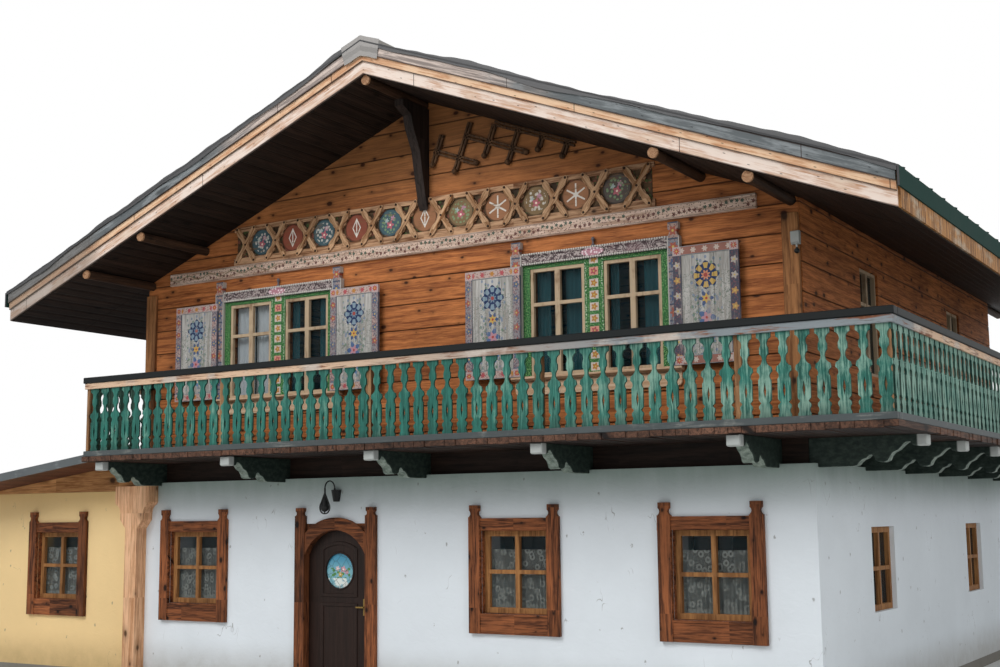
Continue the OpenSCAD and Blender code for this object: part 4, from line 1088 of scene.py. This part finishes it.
        worn = (grain + f.noise(f.place, 4.0) * 0.5).step(0.8, 0.96) * 0.65
        base = f.coats(
            panel, (rail, rails), (stile, frame_tint), (stile * rail, corner_tint), (worn, "#aca39a")
        )
        return f.done(base, 0.62, grain, 0.003)

    def shutter_rails(self, f, across, up, last, middle):
        """A row of flowers along the rails, of other colours on the last shutter."""
        number, u = spaced(across + 0.075, 0.15)
        petal = flower(u, abs(up) - middle, 0.04, 6.0)[0]
        ground = f.mix(f.cells(across, up, 30.0).step(0.36, 0.22) * 0.7, "#bfa79e", "#8a5d5a")
        bloom = f.mix(f.random(number).above(0.5), self.rose, self.amber)
        return f.coats(
            ground, (last, "#99695d"), (petal, f.mix(last, bloom, "#c9b8ac")),
            (abs(abs(up) - middle).above(0.047), "#8f9aa0"),
        )

    def shutter_panel(self, f, across, up, last, daub, grain):
        """Vines and leaves, three flowers one above another, and a rosette over them."""
        swirl = f.noise(f.vector(across * 9, 0.0, up * 9), 1.2, 2, 0.5, 2.0)
        vine = abs((swirl * 6).fract() - 0.5).below(0.1) * abs(up + 0.12).below(0.5)
        leaf = f.cells(across, up * 0.8, 15.0).step(0.3, 0.2) * abs(across).below(0.2)
        panel = f.coats(
            f.mix(grain.step(0.35, 0.7), "#c3bfba", "#85817b"), (vine * 0.7, "#4f6254"),
            (leaf * 0.75, f.mix(swirl.above(0.48), "#5c7d63", "#6d7f9c")),
        )
        for rise, radius, petals, outer_ink, inner_ink in (
            (0.06, 0.1, 6.0, "#2f4a78", "#c8a458"), (-0.17, 0.12, 5.0, "#41608e", "#b98a94"),
            (-0.42, 0.1, 6.0, "#54789f", "#d0bf9c"),
        ):
            u, v = across + daub, up - rise + daub
            inner, eye = flower(u, v, radius * 0.62, petals, math.pi)
            petal = flower(u, v, radius, petals)[0]
            panel = f.coats(panel, (petal * 0.9, outer_ink), (inner, inner_ink), (eye, "#a8443c"))
        lobe = f.mix(last, "#8497a4", "#c2a15c")
        heart = f.mix(last, "#6f8494", "#c98a6a")
        return rosette(
            f, panel, across + daub, up - 0.34 + daub * 0.8, 0.175, ("#27385c", lobe, heart, "#a04a44")
        )

    def curtains(self):
        s = sizes()
        f = Finish("upper curtains")
        weave = f.streaks(60, 60, 60, 2.0, 2)
        base = f.mix(f.x.step(-2.6, -2.7), "#2f5f66", "#eef7fc")
        f.done(f.shade(base, 0.85 + weave * 0.25), 0.9, weave, 0.001)
        low, high = s.upper_sill_z + 0.02, s.upper_head_z - 0.03
        half = s.upper_window_w / 2 - 0.03
        inner_edges = ((-0.01, 0.01), (0.14 - half, half - 0.22), (0.2 - half, 0.06), (0.12 - half, 0.1))
        for number, (x, (left, right)) in enumerate(zip(upper_window_centres(), inner_edges), 1):
            for side, (x0, x1) in enumerate(((x - half, x + left), (x + right, x + half)), 1):
                width = x1 - x0
                folds = max(3, round(width * 14))
                curtain = hung_cloth(f"upper_curtain_{number}_{side}", x0, x1, 0.1, low, high, folds)
                keep(curtain, f.material)


class CHALET_OT_gable(bpy.types.Operator):
    """Paint the cornice and the frieze, and add the crosses, the pegs and the lattice"""

    bl_idname = "chalet.gable"
    bl_label = "Gable front"

    def execute(self, context):
        dress(self.cornice_paint(), "cornice_board")
        fret = wood("frieze wood", "#d6aa84", "#74482a", knots=2.4, spread=0.1, lines=1.2)
        dress(fret, "frieze_fretwork")
        self.crosses()
        self.lattice()
        dress(self.panel_paint(), "frieze_panels")
        soften(0.004, "frieze_fretwork", "cornice_board")
        self.backing()
        dress(wood("ridge bracket", "#3a2f2a", "#1d1714", along="z"), "ridge_bracket")
        self.pegs()
        return {"FINISHED"}

    def crosses(self):
        """Crossed boards with wavy edges between the round panels."""
        s = sizes()
        middle, rise = (CROSS_LOW + CROSS_HIGH) / 2, (CROSS_HIGH - CROSS_LOW) / 2
        reach = math.hypot(CROSS_REACH, rise) + 0.03
        for name, lean, depth in (("frieze_crosses_right", 1, 0.012), ("frieze_crosses_left", -1, 0.009)):
            tilt = math.atan2(rise, CROSS_REACH) * lean
            sine, cosine = math.sin(tilt), math.cos(tilt)

            def place(across, up, depth=depth, sine=sine, cosine=cosine):
                along = across * 2
                half = 0.038 + 0.011 * math.cos(along * math.pi * 3) - 0.012 * (abs(along) > 0.97)
                p, q = along * reach, math.copysign(half, up)
                return (
                    p * cosine - q * sine - s.frieze_pitch * s.frieze_panels / 2, FRET_LOW.y - depth,
                    middle + p * sine + q * cosine,
                )

            board = shaped_grid("cross", 24, 1, place)
            modify(board, "SOLIDIFY", thickness=depth - 0.0005, offset=1)
            repeat(rounded(board, 0.0025), s.frieze_panels + 1, (s.frieze_pitch, 0, 0))
            board.name = name

            def leaning(f, sine=sine, cosine=cosine):
                return f.x * cosine + f.z * sine, f.y, f.z * cosine - f.x * sine

            material = wood(
                name.replace("_", " "), "#deb48c", "#85562f", along=leaning, spread=0.12, dirt=0.3, lines=1.1
            )
            keep(board, material)

    def lattice(self):
        """Doubled bars with knobs, crossing in steps under the right slope of the roof."""
        tilt = math.atan(roof_slope())
        top, step, rails = 8.0, 0.39, (-0.55, -0.24, 0.02)
        front, back, thick, apart = -0.056, -0.0115, 0.03, 0.023

        def place(along, across):
            """A point of the wall from distances along the slope and square to it."""
            return (
                along * math.cos(tilt) + across * math.sin(tilt),
                top - along * math.sin(tilt) + across * math.cos(tilt),
            )

        spans = []
        for number, across in enumerate(rails):
            start, end = 0.4 + 0.41 * number, 1.1 + 0.71 * number
            spans += [((start, end), (across + side * apart,) * 2) for side in (-1, 1)]
        for number in range(6):
            rail = rails[number // 2]
            along = 0.45 + step * number
            high = min(0.045, rail + (0.5 if number % 2 else 0.24))
            spans += [((along + side * apart,) * 2, (rail - 0.16, high)) for side in (-1, 1)]
        pieces = []
        for alongs, acrosses in spans:
            x, z = place(sum(alongs) / 2, sum(acrosses) / 2)
            w = max(alongs[1] - alongs[0], thick) / 2
            h = max(acrosses[1] - acrosses[0], thick) / 2
            pieces.append(block("bar", (x - w, front, z - h), (x + w, back, z + h), 0.003, (0, tilt, 0)))
        knobs = [place(0.45 + step * number, rails[number // 2] - 0.19) for number in range(6)]
        knobs += [place(1.14 + 0.71 * number, rails[number]) for number in range(2)]
        for x, z in knobs:
            pieces.append(added(
                "knob", bpy.ops.mesh.primitive_uv_sphere_add, segments=12, ring_count=8, radius=0.042,
                location=(x, (front + back) / 2 - 0.02, z),
            ))
        # Dark brown wood, made darker still as painted shade for the shade under the roof.
        material = wood("lattice wood", "#6b4c33", "#2f2015", along="z", spread=0.2)
        keep(joined("gable_lattice", pieces), material)

    def backing(self):
        """The dark painted board that shows between the crossed boards."""
        f = Finish("frieze backing")
        swirl = f.noise(f.place, 6.0, 4, 0.6)
        blob = f.cells(f.x, f.z, 11.0).step(0.36, 0.2)
        base = f.coats(
            f.mix(swirl.step(0.4, 0.6), "#3a2c20", "#5b4630"),
            (blob * 0.8, f.mix(swirl.above(0.5), "#4f6138", "#8a4f42")),
        )
        board = block(
            "frieze_backing", (FRET_LOW.x + 0.04, -0.0165, FRET_LOW.z + 0.06),
            (FRET_HIGH.x - 0.04, -0.0125, FRET_HIGH.z - 0.03), 0.001,
        )
        keep(board, f.done(base, 0.7, swirl, 0.002))

    def cornice_paint(self):
        f = Finish("cornice paint")
        up = f.z - (CORNICE_LOW.z + CORNICE_HIGH.z) / 2
        fibre = f.streaks(1.4, 16, 20, 1.7, 6, 0.65, 0.4)
        base = f.mix(fibre.step(0.36, 0.74), "#e2c8b6", "#9a745c")
        base = f.shade(base, 0.7 + f.noise(f.place, 2.2, 5, 0.65) * 0.5)
        crumb = f.cells(f.x, f.z, 26.0).step(0.26, 0.16) * abs(up).below(0.07)
        number, u = spaced(f.x, 0.068)
        chance = f.random(number + 0.5)
        petal = flower(u, up - (chance - 0.5) * 0.09, 0.027, 5.0)[0]
        vine = abs(up - (f.x * 14.0).sine() * 0.03).below(0.008) * f.x.below(-2.6)
        base = f.coats(
            base, (crumb * 0.8, "#5e4038"), (petal * 0.9, f.mix(chance.above(0.5), "#5a2a28", "#2f4d40")),
            (vine * 0.8, "#7d6f52"),
        )
        line = abs(abs(up) - 0.078).below(0.004)
        return f.done(f.shade(base, 1 - line * 0.65), 0.6, fibre, 0.002)

    def panel_paint(self):
        """Round panels: flowers on every second one, and stars on red between them."""
        s = sizes()
        f = Finish("frieze panels")
        number, u = spaced(f.x + s.frieze_pitch / 2, s.frieze_pitch)
        v = f.z - (FRIEZE_LOW.z + FRIEZE_HIGH.z) / 2
        odd = abs(number * 0.5).fract().above(0.25)
        chance = f.random(number + 0.5)
        blue = f.coats("#80694a", (f.x.above(2.5), "#59504b"), (f.x.below(-0.4), "#466068"))
        ground = f.mix(odd, f.mix(chance.above(0.6), "#8c4c3a", "#9c6c4c"), blue)
        ground = f.shade(ground, 0.75 + f.noise(f.place, 9.0, 4, 0.6) * 0.5)
        lozenge = abs(u) * 1.9 + abs(v)
        sign = abs(lozenge - 0.125).below(0.018) + abs(u).below(0.009) * lozenge.below(0.125)
        far = distance(u, v)
        star = (abs((v.arctan2(u) * 3).cosine()) * far).below(0.032) * far.below(0.15)
        sign = f.node("ShaderNodeMix", {"data_type": "FLOAT"}, {0: f.x.above(0.8), 2: sign, 3: star})
        base = f.mix(sign * (1 - odd) * 0.9, ground, "#e6e0d6")
        for du, dv, radius, ink in ((0.045, 0.06, 0.045, "#b98a9a"), (-0.06, 0.035, 0.04, "#a8b5b2")):
            base = f.mix(flower(u - du, v - dv, radius, 5.0)[0] * odd, base, ink)
        bloom, eye = flower(u, v + 0.03, 0.066, 5.0)
        leaf = f.cells(u, v + number * 0.7, 18.0).step(0.4, 0.25) * abs(far - 0.105).below(0.045)
        base = f.coats(
            base, (bloom * odd, "#b96571"), (eye * odd, "#f0d9c8"),
            (leaf * odd * 0.8, f.mix(chance.above(0.5), "#d9d3c8", "#7f9a72")),
        )
        crack = f.streaks(2, 1, 16, 2.0, 5, 0.6)
        base = f.mix(crack.step(0.52, 0.68) * 0.75, f.shade(base, 1 - far.above(0.18) * 0.5), "#7d5c3e")
        return f.done(base, 0.62, crack, 0.002)

    def pegs(self):
        """Pegs at the ends and in the middle of each cross."""
        s = sizes()
        start = s.frieze_pitch * (s.frieze_panels / 2)
        pegs = []
        for x, z in (
            (-CROSS_REACH, CROSS_LOW), (CROSS_REACH, CROSS_LOW), (-CROSS_REACH, CROSS_HIGH),
            (CROSS_REACH, CROSS_HIGH), (0.0, (CROSS_LOW + CROSS_HIGH) / 2),
        ):
            peg = added(
                "peg", bpy.ops.mesh.primitive_cylinder_add, vertices=10, radius=0.018, depth=0.03,
                rotation=(math.pi / 2, 0, 0), location=(x - start, FRET_LOW.y - 0.014, z),
            )
            pegs.append(repeat(rounded(peg, 0.004), s.frieze_panels + 1, (s.frieze_pitch, 0, 0)))
        keep(joined("frieze_pegs", pegs), wood("pegs", "#4a3020", "#22140d", along="y"))


class CHALET_OT_balcony(bpy.types.Operator):
    """Plank the balcony, and finish its rail and consoles"""

    bl_idname = "chalet.balcony"
    bl_label = "Balcony"

    def execute(self, context):
        green = self.baluster_paint(colours().green[:])
        dress(green, "front_balusters", "side_balusters", "left_end_balusters", "back_end_balusters")
        dress(weathered_paint("rail caps", "#0d1213", "#2f2f2c", "x", 0.3, 14.0), "rail_caps")
        dress(self.fascia_paint(), "rail_boards")
        dress(weathered_paint("lower rails", "#4d5354", "#8d8e88", "x", 0.5, 20.0), "lower_rails")
        dress(wood("rail posts", "#b98e66", "#7c5535", along="z", knots=1.8), "rail_posts")
        soften(0.008, "rail_caps", "lower_rails")
        soften(0.004, "rail_boards", "rail_posts")
        self.planks()
        self.consoles()
        return {"FINISHED"}

    def baluster_paint(self, tint):
        """Green paint in long streaks, faded on some balusters and dirty at their feet, with painted shade on
        their edges and painted highlights on the side balusters' broad faces.
        """
        f = Finish("baluster paint")
        tone = f.random(((f.x + f.y * 1.37) / 0.2).floor() + 0.5)
        fibre = f.streaks(26, 26, 1.8, 1.6, 6, 0.7, 0.4)
        patch = f.noise(f.place, 3.6, 5, 0.6)
        pale = (fibre + patch * 0.8 + tone * 0.12).step(1.02, 1.26)
        base = f.coats("#1f5046", (fibre.step(0.34, 0.66), tint), (pale, "#6f9887"))
        faded = f.x.step(1.5, 5.5) * 0.75 * (fibre * 0.6 + patch * 0.5).step(0.48, 0.66)
        grime = (1 - f.z.step(3.39, 3.6)) * 0.5 + f.z.step(4.15, 4.32) * 0.35
        base = f.coats(
            f.shade(base, 0.82 + tone * 0.32), (faded, "#94b3a2"), (grime * patch.step(0.3, 0.6), "#1b2a26")
        )
        # Painted shade: faces that look along the rail are darkened, more on the side balusters.
        across, along = f.facing()[:2]
        front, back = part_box("front_balusters")[1].y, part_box("back_end_balusters")[0].y
        beside = f.y.above(front + 0.01) * f.y.below(back)
        edge = abs(beside * along + (1 - beside) * across).step(0.45, 0.7)
        base = f.shade(base, 1 - edge * (0.35 + 0.3 * beside))
        # Painted highlight: a paler green on the broad faces of the side balusters.
        base = f.mix(beside * (1 - edge) * fibre.step(0.35, 0.6) * 0.5, base, "#8fb3a4")
        return f.done(base, 0.6, fibre, 0.002)

    def fascia_paint(self):
        """Grey by the corner, and peach with torn bare edges further along."""
        f = Finish("rail boards")
        run = f.streaks(1.3, 1.3, 24, 1.6, 6, 0.65, 0.4)
        patch = f.noise(f.place, 1.6, 4, 0.6)
        near = f.x.step(-1.5, 4.4) * (1 - f.y.step(-0.9, 0.4))
        base = f.coats(
            "#d8b79a", (near, "#868d91"), ((run * 0.7 + patch * 0.6).step(0.64, 0.76), "#7a4a30"),
            (patch.step(0.5, 0.64) * 0.6, "#e4dbcf"), (run.step(0.4, 0.33) * 0.75, "#4a3428"),
        )
        return f.done(base, 0.62, run, 0.003)

    def planks(self):
        """Planks on both walks, with painted shade on their undersides and their outer ends chipped."""
        s = sizes()
        f, base, height = grained(
            "deck planks", "#755342", "#33251e", along="y", knots=1.1, spread=0.45, dirt=0.35
        )
        # Painted shade: faces that look down are made much darker.
        below = f.facing()[2].below(-0.5)
        material = f.done(f.shade(base, 1 - below * 0.72), 0.6, height, 0.003)
        random.seed(11)
        left, front_y, low = DECK_LOW
        right, top = DECK_HIGH.x, DECK_HIGH.z
        count = math.floor((right - left) / s.deck_plank)
        w = (right - left) / count
        front = block("deck_front", (left + GAP, front_y, low), (left + w - GAP, -0.0005, top), 0.005)
        repeat(front, count, (w, 0, 0))
        rows = math.floor(HOUSE_D / s.deck_plank)
        step = HOUSE_D / rows
        side = block("deck_side", (HALF_W + 0.0005, GAP, low), (right, step - GAP, top), 0.005)
        repeat(side, rows, (0, step, 0))
        outer = 0.02
        chips = [(random.uniform(0, outer), random.uniform(0, 0.012)) for _ in range(200)]

        def chip(vertex, number, axis, way):
            inset, rise = chips[number]
            vertex.co[axis] += inset * way
            if vertex.co.z < low + outer:
                vertex.co.z += rise

        for vertex in front.data.vertices:
            if vertex.co.y < front_y + outer:
                chip(vertex, int((vertex.co.x - left) / w), 1, 1)
        for vertex in side.data.vertices:
            if vertex.co.x > right - outer:
                chip(vertex, 100 + int(vertex.co.y / step), 0, -1)
        whole = joined("deck_planks", [front, side])
        keep(whole, material)
        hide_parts("balcony_deck")

    def consoles(self):
        """Dark sides, pale carved undersides, and white noses that start at a distance from the walls."""
        for node, axis, reach, start in (
            ("front_consoles", 0, lambda f: 0 - f.y, 1.165),
            ("side_consoles", 1, lambda f: f.x - HALF_W, 1.215),
        ):
            f = Finish(node.replace("_", " "))
            grain = f.streaks(7, 7, 12, 1.7, 6, 0.65)
            side = f.mix(grain.step(0.35, 0.75), "#1d2925", "#3a463f")
            carved = f.mix(grain.step(0.3, 0.7), "#56655c", "#98a49a")
            nose = (reach(f) - start).step(-0.012, 0.012)
            base = f.coats(side, (abs(f.facing()[axis]).below(0.5), carved), (nose, "#b2b6b3"))
            dress(f.done(base, 0.6, grain, 0.003), node)
        soften(0.01, "front_consoles", "side_consoles")


class CHALET_OT_door(bpy.types.Operator):
    """Finish the front door, its glass and the lamps"""

    bl_idname = "chalet.door"
    bl_label = "Front door and lamps"

    def execute(self, context):
        leaf = wood("door wood", colours().door[:], "#1d120d", along="z", spread=0.1, dirt=0.2, rough=0.45)
        dress(leaf, "door_leaf")
        dress(self.stained_glass(), "door_glass")
        iron = sheet_metal("black iron", "#1c1d1d", "#3a2a22")
        dress(iron, "door_hinge_pins", "door_hinge_straps", "wall_lamp")
        dress(sheet_metal("worn brass", "#8f7338", "#4a3a20"), "door_handle")
        dress(self.lamp_coating(), "post_lamp")
        soften(0.003, "door_leaf", "door_handle")
        return {"FINISHED"}

    def lamp_coating(self):
        """Pale grey, with a dark round eye in the front."""
        f = Finish("lamp coating")
        cloud = f.noise(f.place, 6.0, 4, 0.6)
        base = f.shade("#aaaca8", 0.8 + cloud * 0.35)
        eye_x, eye_z = 5.24, 5.375
        base = f.mix(distance(f.x - eye_x, f.z - eye_z).step(0.045, 0.038), base, "#232626")
        return f.done(base, 0.45, cloud, 0.001)

    def stained_glass(self):
        """Coloured panes between lead lines: sky, flowers and leaves."""
        f = Finish("stained glass")
        middle = (GLASS_LOW + GLASS_HIGH) / 2
        u, v = f.x - middle.x, f.z - middle.z
        swirl = f.streaks(4, 1, 4, 2.0, 3)
        pale = v.below(-0.1) * swirl.step(0.4, 0.5)
        leaf = f.cells(u, v * 1.3, 14.0).step(0.42, 0.3) * abs(v + 0.03).below(0.07) * abs(u).below(0.17)
        base = f.coats(
            f.mix(v.step(-0.05, 0.2), "#7fb7c4", "#3f94b4"), (pale, "#e6ece6"), (leaf, "#4f8a4a")
        )
        for du, dv, radius, ink in (
            (0.05, 0.02, 0.05, "#d89aa6"), (-0.05, 0.03, 0.04, "#e3c3c8"), (0.0, -0.05, 0.04, "#d7b25a"),
            (0.11, -0.02, 0.035, "#c77f92"),
        ):
            petal, eye = flower(u - du, v - dv, radius, 5.0)
            base = f.coats(base, (petal, ink), (eye, "#f2e6d4"))
        lead = f.cells(u, v, 9.0, "DISTANCE_TO_EDGE").step(0.03, 0.015)
        base = f.mix(lead * 0.8, base, "#22282a")
        return f.done(base, 0.12 + 0.3 * lead, lead, 0.003, shine=0.4)


class CHALET_OT_stage(bpy.types.Operator):
    """Set the floor, the lamps, the backdrop and the camera"""

    bl_idname = "chalet.stage"
    bl_label = "Stage"

    def execute(self, context):
        scene = bpy.context.scene
        scene.view_settings.view_transform = "Standard"
        self.floor()
        self.backdrop(scene)
        key = sizes().lamp_light
        self.lamp("key lamp", (-5, -19, 19), (0.5, 0, 3.0), 12, key * 1.3)
        self.lamp("fill lamp", (21, -9, 11), (2, 3, 4.0), 12, key * 0.42)
        self.lamp("back lamp", (-8, 27, 15), (0, 8, 4.0), 14, key * 0.7)
        self.camera(scene)
        return {"FINISHED"}

    def floor(self):
        """A floor that fades to white in the distance for the camera alone."""
        floor = added("floor", bpy.ops.mesh.primitive_plane_add, size=160, location=(0, 4, -0.002))
        f = Finish("floor")
        f.done(f.shade("#e4e3e0", 0.985 + f.noise(f.place, 0.15, 2) * 0.03), 0.9)
        far = distance(f.x, f.y - HOUSE_D / 2)
        white = f.node("ShaderNodeEmission", values={"Color": (1, 1, 1, 1), "Strength": 1.0})
        blend = f.node("ShaderNodeMixShader", values={
            0: f.seen() * far.step(15.0, 34.0), 1: Wire(f, f.shader.outputs[0]), 2: white,
        })
        f.feed(f.tree.nodes["Material Output"].inputs["Surface"], blend)
        floor.data.materials.append(f.material)

    def backdrop(self, scene):
        """A soft blue-white light all round, which the camera sees as white."""
        world = bpy.data.worlds.new("backdrop")
        world.use_nodes = True
        w = Nodes(world.node_tree)
        w.tree.nodes.clear()
        room = w.node("ShaderNodeBackground", values={0: (0.93, 0.97, 1.0, 1), 1: 0.42})
        white = w.node("ShaderNodeBackground", values={0: (1, 1, 1, 1), 1: 1})
        blend = w.node("ShaderNodeMixShader", values={0: w.seen(), 1: room, 2: white})
        w.feed(w.tree.nodes.new("ShaderNodeOutputWorld").inputs[0], blend)
        scene.world = world

    def lamp(self, name, place, aim, size, power):
        deselect()
        direction = Vector(aim) - Vector(place)
        bpy.ops.object.light_add(
            type="AREA", location=place, rotation=direction.to_track_quat("-Z", "Y").to_euler()
        )
        lamp = bpy.context.object
        lamp.name = name
        lamp.data.size = size
        lamp.data.energy = power

    def camera(self, scene):
        """The camera that was fitted to the photograph."""
        yaw, lift, roll = -0.5546, 0.1353, -0.0102
        ahead = Vector((math.sin(yaw) * math.cos(lift), math.cos(yaw) * math.cos(lift), math.sin(lift)))
        level = Vector((math.cos(yaw), -math.sin(yaw), 0))
        above = level.cross(ahead)
        right = math.cos(roll) * level + math.sin(roll) * above
        up = math.cos(roll) * above - math.sin(roll) * level
        deselect()
        bpy.ops.object.camera_add()
        camera = bpy.context.object
        camera.name = "photo camera"
        turn = Matrix((right, up, -ahead)).transposed().to_4x4()
        camera.matrix_world = Matrix.Translation((10.339, -14.797, 2.385)) @ turn
        camera.data.lens = 48.59
        camera.data.sensor_width = 36
        camera.data.clip_end = 400
        scene.camera = camera


OPERATORS = (
    CHALET_OT_stage, CHALET_OT_wall_boards, CHALET_OT_roof, CHALET_OT_plaster, CHALET_OT_ground_windows,
    CHALET_OT_upper_windows, CHALET_OT_gable, CHALET_OT_balcony, CHALET_OT_door,
)


class CHALET_PT_panel(bpy.types.Panel):
    """Lists the chalet's pieces, sizes and colours"""

    bl_idname = "CHALET_PT_panel"
    bl_label = "Chalet"
    bl_space_type = "VIEW_3D"
    bl_region_type = "UI"
    bl_category = "Chalet"

    def draw(self, context):
        for operator in OPERATORS:
            self.layout.operator(operator.bl_idname)
        for group in (context.scene.chalet_sizes, context.scene.chalet_colours):
            for name in group.__annotations__:
                self.layout.prop(group, name)


CLASSES = (ChaletSizes, ChaletColours, *OPERATORS, CHALET_PT_panel)


def register():
    for made in CLASSES:
        bpy.utils.register_class(made)
    bpy.types.Scene.chalet_sizes = PointerProperty(type=ChaletSizes)
    bpy.types.Scene.chalet_colours = PointerProperty(type=ChaletColours)


def unregister():
    del bpy.types.Scene.chalet_colours
    del bpy.types.Scene.chalet_sizes
    for made in reversed(CLASSES):
        bpy.utils.unregister_class(made)


def main():
    register()
    for operator in OPERATORS:
        group, name = operator.bl_idname.split(".")
        getattr(getattr(bpy.ops, group), name)()


if __name__ == "__main__":
    main()
